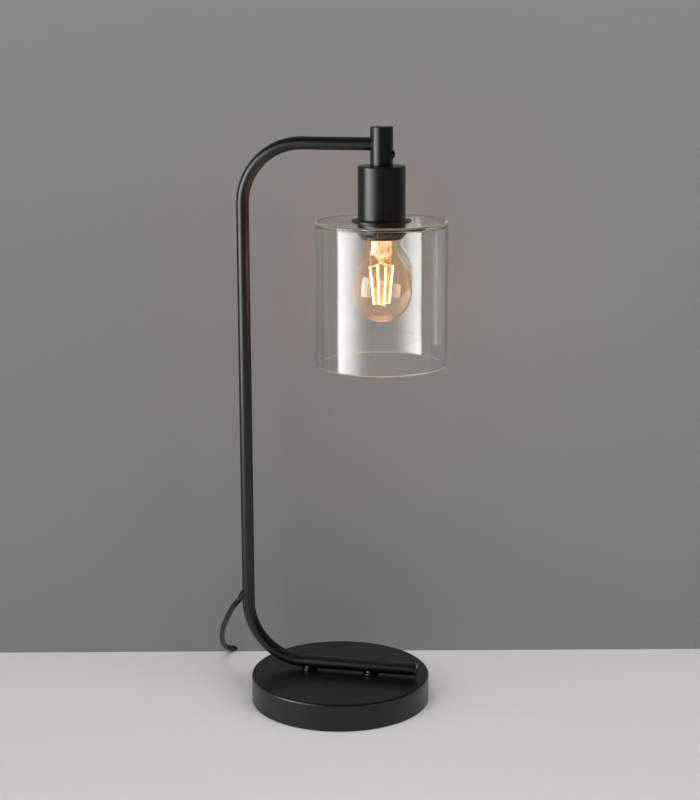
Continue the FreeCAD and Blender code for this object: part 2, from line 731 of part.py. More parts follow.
def make_inner_cores():
    """Two insulated cores from the cord's end up the stem and down to the lampholder."""
    start = outlet_point() + outlet_direction() * -GLAND_IN
    side = S.core_apart / 2
    turn_radius = 3.0
    end = LEDGE.value + S.block_thick.value - 5
    back = -S.stem_back.value
    high = S.arm_height.value
    bend = S.bend_radius.value
    head = HEAD_X.value
    rise = outlet_direction() * -1
    lean = math.radians(90 - S.gland_tilt.value)
    reach = turn_radius * math.tan(lean / 2)
    corner = start + rise * ((back - start.x) / rise.x)
    spots = [start, corner - rise * reach, Vector(back, 0, corner.z + reach),
             Vector(back, 0, high - bend), Vector(back + bend, 0, high),
             Vector(head - turn_radius, 0, high), Vector(head, 0, high - turn_radius),
             Vector(head, 0, end)]
    centres = {1: Vector(back - turn_radius, 0, corner.z + reach),
               3: Vector(back + bend, 0, high - bend),
               5: Vector(head - turn_radius, 0, high - turn_radius)}
    edges = []
    for number in range(7):
        first, last = spots[number], spots[number + 1]
        if number in centres:
            centre = centres[number]
            outward = ((first + last) * 0.5 - centre).normalize()
            middle = centre + outward * (first - centre).Length
            edges.append(Part.Arc(first, middle, last).toShape())
        else:
            edges.append(Part.LineSegment(first, last).toShape())
    wire = Part.Wire(edges)
    section = Part.Wire([Part.Circle(start, rise, S.core_dia.value / 2).toShape()])
    core = wire.makePipeShell([section], True, False)
    cores = []
    for sign in (-1, 1):
        copy = core.copy()
        copy.translate(Vector(0, sign * side.value, 0))
        cores.append(copy)
    keep(shape_part("InnerCores", Part.makeCompound(cores)), "inner_cores")


# Head: post, nipple, side screw and cup

def make_head_post():
    """The turned post: the arm goes into its side and the nipple into its foot."""
    outside = S.post_dia / 2
    thread = S.nipple_dia / 2 + S.thread_gap
    way = thread - 0.8
    nipple_end = POST_FOOT + S.nipple_up + 0.5
    body = turned("HeadPost", [
        (thread, POST_FOOT), (outside - 0.4, POST_FOOT), (outside, POST_FOOT + 0.4),
        (outside, POST_TOP - 0.8), (outside - 0.8, POST_TOP, 0.8), (0, POST_TOP),
        (0, S.arm_height + TUBE_BORE / 2 + 0.6), (way, S.arm_height + TUBE_BORE / 2 + 0.6),
        (way, nipple_end), (thread, nipple_end),
    ])
    seat = S.post_dia / 2 - S.post_seat_deep
    socket = discs(body, "ArmSocket", "YZ_Plane", [(0, S.arm_height, S.tube_dia)], -seat)
    cut(body, "ArmSocketCut", socket, S.post_dia, forward=False)
    passage = discs(body, "CorePassage", "YZ_Plane", [(0, S.arm_height, TUBE_BORE - 3)], -seat)
    cut(body, "CorePassageCut", passage, seat)
    screw_z = S.arm_height - S.side_screw_drop
    hole = discs(body, "SideHole", "YZ_Plane", [(0, screw_z, S.side_screw_dia)])
    cut(body, "SideHoleCut", hole, S.post_dia)
    flat = discs(body, "SideFlat", "YZ_Plane", [(0, screw_z, S.side_head_dia + 0.4)],
                 S.post_dia / 2 - 0.85)
    cut(body, "SideFlatCut", flat, S.post_dia)
    place(body, along=HEAD_X)
    keep(body, "head_post")


def make_side_screw():
    """The button-head screw that locks the nipple in the post."""
    seat = S.post_dia / 2 - 0.85
    head = S.side_head_dia / 2
    shank = S.side_screw_dia / 2 - S.thread_gap
    body = turned("SideScrew", [
        (0, S.nipple_dia / 2), (shank - 0.4, S.nipple_dia / 2), (shank, S.nipple_dia / 2 + 0.4),
        (shank, seat), (head, seat), (head, seat + 0.6),
        (head - 2, seat + S.side_head_thick, S.side_head_dia / 2), (0, seat + S.side_head_thick),
    ])
    socket = outline(body, "SideScrewSocket", "XY_Plane", hexagon(2.5),
                     seat + S.side_head_thick)
    cut(body, "SideScrewSocketed", socket, 1.6, forward=False)
    place(body, HEAD_X, 0, S.arm_height - S.side_screw_drop, Vector(0, 1, 0), 90)
    keep(body, "post_screw")


def make_nipple():
    """The threaded nipple that joins post, cup and lampholder."""
    low = POST_FOOT - S.nipple_down
    high = POST_FOOT + S.nipple_up
    outside = S.nipple_dia / 2
    inside = S.nipple_bore / 2
    body = turned("Nipple", [
        (inside, low), (outside - 0.5, low), (outside, low + 0.5), (outside, high - 0.5),
        (outside - 0.5, high), (inside, high),
    ])
    place(body, along=HEAD_X)
    keep(body, "head_nipple")


def make_nipple_nut():
    """The thin nut that clamps the cup to the post."""
    body = new_body("NippleNut")
    high = POST_FOOT - S.cup_wall
    sketch = outline(body, "NutOutline", "XY_Plane", hexagon(S.nut_across), high - S.nut_thick)
    draw_circle(sketch, 0, 0, S.nipple_dia + 2 * S.thread_gap)
    pad(body, "NutPad", sketch, S.nut_thick)
    place(body, along=HEAD_X)
    keep(body, "nipple_nut")


def make_holder_cup():
    """The spun cup over the lampholder, open below."""
    outside = S.cup_dia / 2
    inside = outside - S.cup_wall
    hole = S.nipple_dia / 2 + S.thread_gap
    bend = S.cup_round - S.cup_wall
    top = POST_FOOT
    body = turned("HolderCup", [
        (hole, top - S.cup_wall), (inside - bend, top - S.cup_wall),
        (inside, top - S.cup_round, -bend), (inside, CUP_RIM), (outside, CUP_RIM),
        (outside, top - S.cup_round), (outside - S.cup_round, top, S.cup_round), (hole, top),
    ])
    place(body, along=HEAD_X)
    keep(body, "holder_cup")


# Lampholder and the clamp that holds the glass

def make_holder_cap():
    """The lampholder's cap, screwed on the nipple and seated on the skirt."""
    outside = SKIRT_R - 0.4
    wall = S.holder_cap_wall
    hole = S.nipple_dia / 2 + S.thread_gap
    neck = hole + wall * 2
    low = SKIRT_TOP
    high = low + S.holder_cap_height
    shoulder = low + S.holder_cap_height - 5
    bend = 4
    body = turned("HolderCap", [
        (hole, high), (hole, shoulder - wall), (outside - bend, shoulder - wall),
        (outside - wall, shoulder - bend, -(bend - wall)), (outside - wall, low), (outside, low),
        (outside, shoulder - bend), (outside - bend, shoulder, bend), (neck, shoulder),
        (neck, high),
    ])
    place(body, along=HEAD_X)
    keep(body, "holder_cap")


def make_holder_skirt():
    """The threaded skirt: the collar, the glass and the ring go over it."""
    inside = SKIRT_R - S.skirt_wall
    hole = S.shell_dia / 2 + S.shell_wall + 0.5
    low = SKIRT_END
    body = turned("HolderSkirt", [
        (inside, low + 0.6), (inside + 0.6, low), (SKIRT_R - 0.8, low),
        (SKIRT_R, low + 0.8, 0.8), (SKIRT_R, SKIRT_TOP), (inside, SKIRT_TOP), (inside, LEDGE),
        (hole, LEDGE), (hole, LEDGE - S.ledge_thick), (inside, LEDGE - S.ledge_thick),
    ])
    place(body, along=HEAD_X)
    keep(body, "holder_skirt")


def make_ceramic_block():
    """The ceramic block on the skirt's ledge, with holes for the cores and screws."""
    outside = SKIRT_R - S.skirt_wall - 0.2
    top = LEDGE + S.block_thick
    body = turned("CeramicBlock", [
        (0, LEDGE), (outside, LEDGE), (outside, top - 1), (outside - 1, top), (0, top),
    ])
    side = S.core_apart / 2
    core_hole = S.core_dia + 0.3
    holes = discs(body, "CoreHoles", "XY_Plane",
                  [(0, side, core_hole), (0, -side, core_hole)], top)
    cut(body, "CoreHolesCut", holes, 5, forward=False)
    sinks = discs(body, "ScrewSinks", "XY_Plane", [(10, 0, 5), (-10, 0, 5)], top)
    cut(body, "ScrewSinksCut", sinks, 4, forward=False)
    place(body, along=HEAD_X)
    keep(body, "ceramic_block")


def make_terminal_screws():
    """The two brass terminal screws in the ceramic block."""
    low = LEDGE + S.block_thick - 4
    body = turned("TerminalScrew", [
        (0, low), (2.2, low), (2.2, low + 3), (1.8, low + 3.4), (0, low + 3.4),
    ])
    slot = outline(body, "TerminalSlot", "XY_Plane",
                   [(-3, -0.4), (3, -0.4), (3, 0.4), (-3, 0.4)], low + 2.4)
    cut(body, "TerminalSlotCut", slot, 2)
    place(body, along=10)
    pair = mirrored_pair("TerminalScrews", body, Vector(1, 0, 0))
    place(pair, along=HEAD_X)
    keep(pair, "terminal_screws")


def make_screw_shell():
    """The brass shell that the bulb's cap screws into."""
    inside = S.shell_dia / 2
    outside = inside + S.shell_wall
    low = LEDGE - S.shell_long
    body = turned("ScrewShell", [
        (inside, low), (outside + 0.5, low), (outside + 0.5, low + 0.5), (outside, low + 1),
        (outside, LEDGE), (8, LEDGE), (8, LEDGE - S.shell_wall), (inside, LEDGE - S.shell_wall),
    ])
    place(body, along=HEAD_X)
    keep(body, "screw_shell")


def make_centre_contact():
    """The bent spring tongue under the ceramic block, just above the bulb's contact."""
    body = new_body("CentreContact")
    thick = 0.5
    tongue = BULB_TIP + 0.3
    sketch = outline(body, "TongueOutline", "XZ_Plane", [
        (-6.5, LEDGE), (-6.5, LEDGE - thick), (-4, LEDGE - thick), (-1.5, tongue),
        (3, tongue), (3.4, tongue + thick), (-1.2, tongue + thick), (-3.6, LEDGE),
    ])
    pad(body, "TonguePad", sketch, 5, centred=True)
    place(body, along=HEAD_X)
    keep(body, "centre_contact")


def make_shade_collar():
    """The flat cone on the glass that carries the cup's rim."""
    inside = SKIRT_R + S.slide_gap
    seat = S.cup_dia / 2 + 0.4
    edge = S.collar_dia / 2
    body = turned("ShadeCollar", [
        (inside, GLASS_TOP), (edge, GLASS_TOP), (edge, GLASS_TOP + S.collar_edge),
        (seat, CUP_RIM), (inside, CUP_RIM),
    ])
    place(body, along=HEAD_X)
    keep(body, "shade_collar")


def make_shade_ring():
    """The screwed ring under the glass, notched for grip."""
    high = GLASS_TOP - S.shade_top - S.ring_gap
    low = high - S.ring_thick
    outside = S.ring_dia / 2
    inside = SKIRT_R + S.ring_gap
    body = turned("ShadeRing", [
        (inside, low + 0.5), (inside + 0.5, low), (inside + 1.2, low), (outside, low + S.ring_taper),
        (outside, high), (inside, high),
    ])
    notch = discs(body, "GripNotch", "XY_Plane", [(outside + 0.5, 0, 2.6)], low)
    pocket = cut(body, "GripNotchCut", notch, S.ring_thick - 1.6)
    ring = body.newObject("PartDesign::PolarPattern", "GripNotches")
    ring.Originals = [pocket]
    ring.Axis = (own_plane(body, "Z_Axis"), [""])
    ring.Angle = 360
    tie(ring, "Occurrences", S.ring_notches)
    body.Tip = ring
    place(body, along=HEAD_X)
    keep(body, "shade_ring")


def make_glass_shade():
    """The clear cylinder: a flat top with a hole, an open bottom and a fire-polished rim."""
    outside = S.shade_dia / 2
    inside = outside - S.shade_wall
    hole = S.shade_hole / 2
    bottom = GLASS_TOP - S.shade_height
    ceiling = GLASS_TOP - S.shade_top
    inner_round = S.shade_inner_round
    body = turned("GlassShade", [
        (hole, ceiling), (inside - inner_round, ceiling),
        (inside, ceiling - inner_round, -inner_round), (inside, bottom + S.shade_rim),
        (inside + S.shade_rim, bottom, S.shade_rim), (outside - S.shade_rim, bottom),
        (outside, bottom + S.shade_rim, S.shade_rim), (outside, GLASS_TOP - S.shade_round),
        (outside - S.shade_round, GLASS_TOP, S.shade_round), (hole, GLASS_TOP),
    ])
    place(body, along=HEAD_X)
    keep(body, "glass_shade")


# Bulb

CAP_TOP = BULB_TIP - S.contact_thick - S.insulator_thick
CAP_LOW = CAP_TOP - S.cap_long
GLASS_END = CAP_LOW + 7


def bulb_side(inset):
    """The globe and neck outline, from the lowest point up, drawn in by an inset.

    The neck curve's radius comes from its touching both the shoulder and the neck.
    """
    inset = as_size(inset)
    globe = S.globe_dia / 2 - inset
    shoulder = S.globe_shoulder - inset
    centre = S.globe_dia / 2 - S.globe_shoulder
    neck = S.neck_dia / 2 - inset
    neck_z = CAP_LOW - 1
    rise = neck_z - GLOBE_MIDDLE
    reach = neck - centre
    curve = (rise * rise + reach * reach - shoulder * shoulder) / (2 * (shoulder - reach))
    share = shoulder / (shoulder + curve)
    touch_r = centre + share * (neck + curve - centre)
    touch_z = GLOBE_MIDDLE + share * rise
    low = GLOBE_END + inset
    return [(0, low), (globe, GLOBE_MIDDLE, globe), (touch_r, touch_z, shoulder),
            (neck, neck_z, -curve)]


def make_bulb_glass():
    """The clear envelope, with its neck inside the cap."""
    outer = bulb_side(0)
    inner = bulb_side(S.glass_wall)
    seat = S.cap_dia / 2 - S.cap_wall - S.thread_gap
    bore = seat - S.glass_wall
    collar = [(S.cap_dia / 2 + 0.2, CAP_LOW), (seat, CAP_LOW), (seat, GLASS_END), (bore, GLASS_END),
              (bore, CAP_LOW - S.glass_wall), inner[3][:2]]
    back = [(inner[n][0], inner[n][1], -inner[n + 1][2]) for n in (2, 1, 0)]
    body = turned("BulbGlass", outer + collar + back)
    place(body, along=HEAD_X)
    keep(body, "bulb_glass")


def make_bulb_cap():
    """The bulb's metal cap."""
    outside = S.cap_dia / 2
    inside = outside - S.cap_wall
    shoulder = CAP_TOP - 3
    ring = S.contact_dia / 2 + 2.5
    body = turned("BulbCap", [
        (inside, CAP_LOW), (outside, CAP_LOW), (outside, shoulder), (ring, CAP_TOP),
        (ring - S.cap_wall, CAP_TOP), (ring - S.cap_wall, CAP_TOP - S.cap_wall),
        (inside, shoulder - S.cap_wall),
    ])
    place(body, along=HEAD_X)
    keep(body, "bulb_cap")


def make_bulb_insulator():
    """The black glass between the cap and the end contact."""
    ring = S.contact_dia / 2 + 2.5
    tip = S.contact_dia / 2
    top = CAP_TOP + S.insulator_thick
    body = turned("BulbInsulator", [
        (0, CAP_TOP), (ring, CAP_TOP), (tip + 0.3, top), (0, top),
    ])
    place(body, along=HEAD_X)
    keep(body, "bulb_insulator")


def make_bulb_contact():
    """The end contact."""
    low = BULB_TIP - S.contact_thick
    edge = S.contact_dia / 2
    body = turned("BulbContact", [
        (0, low), (edge, low), (edge, low + 0.4), (1, BULB_TIP, S.contact_dia * 1.2),
        (0, BULB_TIP),
    ])
    place(body, along=HEAD_X)
    keep(body, "bulb_contact")


def make_bulb_mount():
    """The glass mount inside the bulb: a flare on the neck, a tube and a pinch."""
    low = GLOBE_END + S.mount_low
    outside = S.mount_dia / 2
    flare = S.cap_dia / 2 - S.cap_wall - S.thread_gap - S.glass_wall
    wall = S.glass_wall
    high = GLASS_END - 0.5
    body = turned("BulbMount", [
        (0, low), (2, low), (2.6, low + 0.6), (4.6, low + 5), (outside - 1.5, low + 7.5),
        (outside, low + 10, 3), (outside, high - 6), (flare, high - 1), (flare, high),
        (flare - wall, high), (outside - wall, high - 5), (outside - wall, low + 10),
        (4, low + 8), (0, low + 8),
    ])
    place(body, along=HEAD_X)
    keep(body, "bulb_mount")


def rod(start, end, diameter):
    """A round rod between two points."""
    line = end - start
    return Part.makeCylinder(diameter / 2, line.Length, start, line)


def round_axis(radius, height, angle):
    """A point at a radius and an angle round the head's axis."""
    turn_angle = math.radians(angle)
    return Vector(HEAD_X.value + radius * math.cos(turn_angle), radius * math.sin(turn_angle),
                  GLOBE_END.value + height)


FILAMENTS = 4


def filament_ends():
    """The upper and lower end of each filament."""
    ends = []
    for number in range(FILAMENTS):
        angle = S.filament_turn.value + 360 / FILAMENTS * number
        high = round_axis(S.filament_top_out.value, S.filament_high.value, angle)
        low = round_axis(S.filament_low_out.value, S.filament_low.value, angle)
        ends.append((high, low))
    return ends


def make_bulb_filaments():
    """Four leaning filament rods with rounded tips."""
    radius = S.filament_dia.value / 2
    rods = []
    for high, low in filament_ends():
        inset = (high - low).normalize() * radius
        blunt = rod(low + inset, high - inset, S.filament_dia.value)
        caps = [Part.makeSphere(radius, high - inset), Part.makeSphere(radius, low + inset)]
        rods.append(blunt.multiFuse(caps).removeSplitter())
    keep(shape_part("BulbFilaments", Part.makeCompound(rods)), "bulb_filaments")


def make_bulb_leads():
    """Lead wires from the mount's pinch to the filaments, and links between their lower ends."""
    thick = S.lead_dia.value
    pinch = S.mount_low.value + 1.5
    ends = filament_ends()
    leads = []
    for number, (high, low) in enumerate(ends):
        angle = S.filament_turn.value + 360 / FILAMENTS * number
        root = round_axis(1, pinch, angle)
        elbow = round_axis(3.2, S.mount_low.value - 1.6, angle)
        tip = high + (low - high).normalize() * S.filament_dia.value * 0.4
        leads.append(rod(root, elbow, thick).multiFuse([
            rod(elbow, tip, thick), Part.makeSphere(thick / 2, elbow)]).removeSplitter())
    for number in (0, 2):
        first, last = ends[number][1], ends[number + 1][1]
        lift = Vector(0, 0, S.filament_dia.value * 0.5)
        leads.append(rod(first + lift, last + lift, thick))
    keep(shape_part("BulbLeads", Part.makeCompound(leads)), "bulb_leads")


# Free cord: from the stem to the switch, on to the coil, and out to the plug

CORD_TUCK = 6


def heading(angle):
    """The direction on the table at an angle from +X."""
    turn_angle = math.radians(as_size(angle).value)
    return Vector(math.cos(turn_angle), math.sin(turn_angle), 0)


def switch_end(sign):
    """The point where the cord enters (-1) or leaves (1) the switch."""
    middle = Vector(S.switch_x.value, S.switch_y.value, S.switch_base_high.value)
    return middle + heading(S.switch_turn) * sign * S.switch_long.value / 2


def run_wire(label, points):
    """Straight runs through the points with a tangent arc at each turn."""
    edges = []
    start = points[0]
    tightest = None
    for before, corner, after in zip(points, points[1:], points[2:]):
        arriving = (corner - before).normalize()
        leaving = (after - corner).normalize()
        reach = 0.45 * min((corner - before).Length, (after - corner).Length)
        turning = arriving.getAngle(leaving)
        radius = reach / math.tan(turning / 2)
        tightest = min(radius, tightest or radius)
        first = corner - arriving * reach
        last = corner + leaving * reach
        inward = (leaving - arriving).normalize()
        centre = corner + inward * math.sqrt(radius * radius + reach * reach)
        middle = centre - inward * radius
        edges.append(Part.LineSegment(start, first).toShape())
        edges.append(Part.Arc(first, middle, last).toShape())
        start = last
    edges.append(Part.LineSegment(start, points[-1]).toShape())
    print("%s: tightest bend %.1f mm" % (label, tightest))
    return Part.Wire(edges)


def cord_tube(label, wire, start, direction):
    """A round tube along a wire, checked against the wire's length."""
    radius = S.cord_dia.value / 2
    section = Part.Wire([Part.Circle(start, direction, radius).toShape()])
    tube = wire.makePipeShell([section], True, False)
    wanted = math.pi * radius * radius * wire.Length
    print("%s: %.1f mm long, volume %.4f of section times length"
          % (label, wire.Length, tube.Volume / wanted))
    return tube


def make_mains_cord():
    """The cord that leaves the stem, droops behind it and lies down to the switch."""
    start = outlet_point() - outlet_direction() * GLAND_IN
    points = [
        start,
        start + outlet_direction() * 10,
        Vector(-114.9, 6.1, 86.5),
        Vector(-121.7, 16.6, 75.8),
        Vector(-129.5, 29.1, 63.0),
        Vector(-137.1, 42.3, 48.8),
        Vector(-142.8, 55.7, 35.0),
        Vector(-146.2, 68.8, 23.4),
        Vector(-148.0, 81.0, 14.6),
        Vector(-147.9, 92.0, 8.4),
        Vector(-145.3, 101.4, 4.1),
        Vector(-139.9, 109.6, 2.7),
        Vector(-131.8, 116.9, 3.5),
        Vector(-121.2, 123.5, 5.5),
        Vector(-108.6, 129.4, 7.7),
        switch_end(-1) - heading(S.switch_turn) * 9,
        switch_end(-1) + heading(S.switch_turn) * CORD_TUCK,
    ]
    wire = run_wire("mains_cord", points)
    tube = cord_tube("mains_cord", wire, start, outlet_direction())
    keep(shape_part("MainsCord", tube), "mains_cord")


def coil_sweep():
    """The coil's whole angle, from where it starts to where it leaves, in radians."""
    return math.radians(S.coil_leave.value - S.coil_start.value + 360 * S.coil_loops.value)


def coil_spot(angle):
    """A point of the coil: inward in the lower layer, outward in the upper one."""
    pitch = (S.cord_dia.value + S.coil_gap.value) / (2 * math.pi)
    half = coil_sweep() / 2
    from_middle = angle - half
    soften = math.pi / 4
    spread = math.sqrt(from_middle * from_middle + soften * soften) - soften
    inner = S.coil_mid_dia.value / 2 - pitch * half / 2
    radius = inner + pitch * spread
    climb = min(max(from_middle / math.pi + 0.5, 0), 1)
    climb = climb * climb * (3 - 2 * climb)
    low = S.cord_dia.value / 2 + S.tie_thick.value + S.tie_gap.value
    layer = S.cord_dia.value + S.coil_gap.value
    turn_angle = math.radians(S.coil_start.value) + angle
    return Vector(S.coil_x.value + radius * math.cos(turn_angle),
                  S.coil_y.value + radius * math.sin(turn_angle), low + layer * climb)


def coil_heading(angle):
    """The coil's direction at an angle."""
    step = 1e-4
    return (coil_spot(angle + step) - coil_spot(angle - step)).normalize()


def biarc(first, first_way, last, last_way):
    """Two arcs that join two points and touch both directions."""
    gap = last - first
    ways = first_way + last_way
    share = 2 * (1 - first_way.dot(last_way))
    reach = (math.sqrt(gap.dot(ways) ** 2 + share * gap.dot(gap)) - gap.dot(ways)) / share
    joint = (first + first_way * reach + last - last_way * reach) * 0.5
    return [tangent_arc(first, first_way, joint), tangent_arc(last, last_way * -1, joint)]


def tangent_arc(start, way, end):
    """The arc from start, in a direction, to end."""
    chord = end - start
    side = (chord - way * chord.dot(way)).normalize()
    radius = chord.dot(chord) / (2 * chord.dot(side))
    centre = start + side * radius
    toward = ((start + end) * 0.5 - centre).normalize()
    return Part.Arc(start, centre + toward * radius, end)


def coil_ends():
    """Where the coil's straight ends begin and stop, with their directions."""
    sweep_angle = coil_sweep()
    first_way = coil_heading(0)
    last_way = coil_heading(sweep_angle)
    first = coil_spot(0) - first_way * S.cord_dia.value
    last = coil_spot(sweep_angle) + last_way * S.cord_dia.value
    return first, first_way, last, last_way


def coil_least_gap(wire):
    """The least gap of the coil's tube to itself, measured on points along it."""
    spots = wire.discretize(Number=1200)
    step = wire.Length / 1199
    skip = int(S.coil_mid_dia.value / step)
    least = wire.Length
    for number, spot in enumerate(spots):
        for other in spots[number + skip::2]:
            least = min(least, (spot - other).Length)
    return least - S.cord_dia.value


def make_cord_coil():
    """The put-away cord: two flat layers of turns in one unbroken tube."""
    sweep_angle = coil_sweep()
    first, first_way, last, last_way = coil_ends()
    steps = math.ceil(sweep_angle / (math.pi / 2))
    angles = [sweep_angle * number / steps for number in range(steps + 1)]
    edges = [Part.LineSegment(first, coil_spot(0)).toShape()]
    for start, end in zip(angles, angles[1:]):
        arcs = biarc(coil_spot(start), coil_heading(start), coil_spot(end), coil_heading(end))
        edges += [arc.toShape() for arc in arcs]
    edges.append(Part.LineSegment(coil_spot(sweep_angle), last).toShape())
    wire = Part.Wire(Part.sortEdges(edges)[0])
    tube = cord_tube("cord_coil", wire, first, first_way)
    print("cord_coil: least gap to itself %.2f mm" % coil_least_gap(wire))
    keep(shape_part("CordCoil", tube), "cord_coil")


def make_cord_link():
    """The short stretch from the switch to the coil."""
    first, first_way = coil_ends()[:2]
    start = switch_end(1)
    way = heading(S.switch_turn)
    points = [start - way * CORD_TUCK, start + way * 13, first - first_way * 14, first]
    wire = run_wire("cord_link", points)
    keep(shape_part("CordLink", cord_tube("cord_link", wire, points[0], way)), "cord_link")


def make_cord_tail():
    """The short stretch from the coil into the plug's strain relief."""
    last, last_way = coil_ends()[2:]
    entry = Vector(S.plug_x.value, S.plug_y.value, S.plug_high.value / 2)
    way = heading(S.plug_turn)
    points = [last, last + last_way * 12, entry - way * 13, entry + way * (S.relief_long.value - 4)]
    wire = run_wire("cord_tail", points)
    keep(shape_part("CordTail", cord_tube("cord_tail", wire, last, last_way)), "cord_tail")


def make_cord_tie():
    """A reusable band round the coil's turns."""
    at = math.radians(S.tie_turn.value - S.coil_start.value)
    centre = Vector(S.coil_x.value, S.coil_y.value, 0)
    reaches = []
    heights = []
    angle = at
    while angle < coil_sweep():
        spot = coil_spot(angle)
        heights.append(spot.z)
        reaches.append(math.hypot(spot.x - centre.x, spot.y - centre.y))
        angle += 2 * math.pi
    clear = S.cord_dia.value / 2 + S.tie_gap.value
    inner_size = (max(reaches) - min(reaches) + 2 * clear, max(heights) - min(heights) + 2 * clear)
    thick = S.tie_thick.value
    wide = S.tie_wide.value
    start = Vector(min(reaches) - clear, -wide / 2, min(heights) - clear)
    outer = Part.makeBox(inner_size[0] + 2 * thick, wide, inner_size[1] + 2 * thick,
                         start - Vector(thick, 0, thick))
    inner = Part.makeBox(inner_size[0], wide, inner_size[1], start)
    bend = 2.0
    outer = outer.makeFillet(bend + thick, [e for e in outer.Edges if is_across(e)])
    inner = inner.makeFillet(bend, [e for e in inner.Edges if is_across(e)])
    band = outer.cut(inner)
    band.rotate(Vector(0, 0, 0), UP, S.tie_turn.value)
    band.translate(centre)
    keep(shape_part("CordTie", band), "cord_tie")


def is_across(edge):
    """True for a straight edge along Y."""
    return abs(edge.tangentAt(edge.FirstParameter).y) > 0.99


# Cord switch: two halves, a tilting rocker with its contact bridge, and the terminals

def rounded_box(half_long, half_wide, corner):
    """The outline of a rectangle with rounded corners, about the middle."""
    long_in = half_long - corner
    wide_in = half_wide - corner
    return [
        (long_in, -half_wide), (half_long, -wide_in, corner), (half_long, wide_in),
        (long_in, half_wide, corner), (-long_in, half_wide), (-half_long, wide_in, corner),
        (-half_long, -wide_in), (-long_in, -half_wide, corner),
    ]


def switch_outline(inset=0):
    """The outline of the switch seen from above."""
    return rounded_box(S.switch_long / 2 - inset, S.switch_wide / 2 - inset,
                       S.switch_corner - inset)


PIVOT_Z = S.switch_base_high + S.switch_top_high - S.rocker_pivot_deep
BOSS_X = S.switch_screw_apart / 2
BOSS_Y = S.switch_wide / 2 - S.switch_wall - 3
BOSS_DIA = 6.4
TERMINAL_LOW = S.switch_base_high - 3
TERMINAL_HIGH = S.switch_base_high + 3
TERMINAL_NEAR = 0.5
TERMINAL_FAR = 4.9


def place_switch(thing):
    """Puts a piece of the switch in its place on the table."""
    place(thing, S.switch_x, S.switch_y, 0, UP, S.switch_turn)


def make_switch_base():
    """The lower half: a tray with screw bosses, terminal seats and half of each cord hole."""
    body = new_body("SwitchBase")
    split = S.switch_base_high
    pad(body, "SwitchTray", outline(body, "TrayOutline", "XY_Plane", switch_outline()), split)
    inside = outline(body, "TrayInside", "XY_Plane", switch_outline(S.switch_wall), split)
    cut(body, "TrayHollow", inside, split - S.switch_wall, forward=False)
    bosses = discs(body, "BaseBosses", "XY_Plane",
                   [(BOSS_X, BOSS_Y, BOSS_DIA), (-BOSS_X, -BOSS_Y, BOSS_DIA)], S.switch_wall)
    pad(body, "BaseBossPads", bosses, split - S.switch_wall)
    for side, name in ((1, "Far"), (-1, "Near")):
        middle = S.terminal_apart / 2 * side
        half = S.terminal_long / 2
        seat = outline(body, name + "Seat", "XY_Plane", [
            (middle - half, TERMINAL_NEAR), (middle + half, TERMINAL_NEAR),
            (middle + half, TERMINAL_FAR), (middle - half, TERMINAL_FAR)], S.switch_wall)
        pad(body, name + "SeatPad", seat, TERMINAL_LOW - S.switch_wall)
    holes = discs(body, "BaseScrewHoles", "XY_Plane",
                  [(BOSS_X, BOSS_Y, S.switch_screw_dia + 0.2),
                   (-BOSS_X, -BOSS_Y, S.switch_screw_dia + 0.2)])
    cut(body, "BaseScrewDrilled", holes, split)
    sinks = discs(body, "BaseScrewSinks", "XY_Plane",
                  [(BOSS_X, BOSS_Y, S.switch_head_dia + 0.3),
                   (-BOSS_X, -BOSS_Y, S.switch_head_dia + 0.3)])
    cut(body, "BaseScrewSunk", sinks, 2.8)
    cord = discs(body, "BaseCordHole", "YZ_Plane", [(0, split, S.cord_dia + 2 * S.thread_gap)])
    cut(body, "BaseCordCut", cord, S.switch_long, centred=True)
    place_switch(body)
    keep(body, "switch_base")


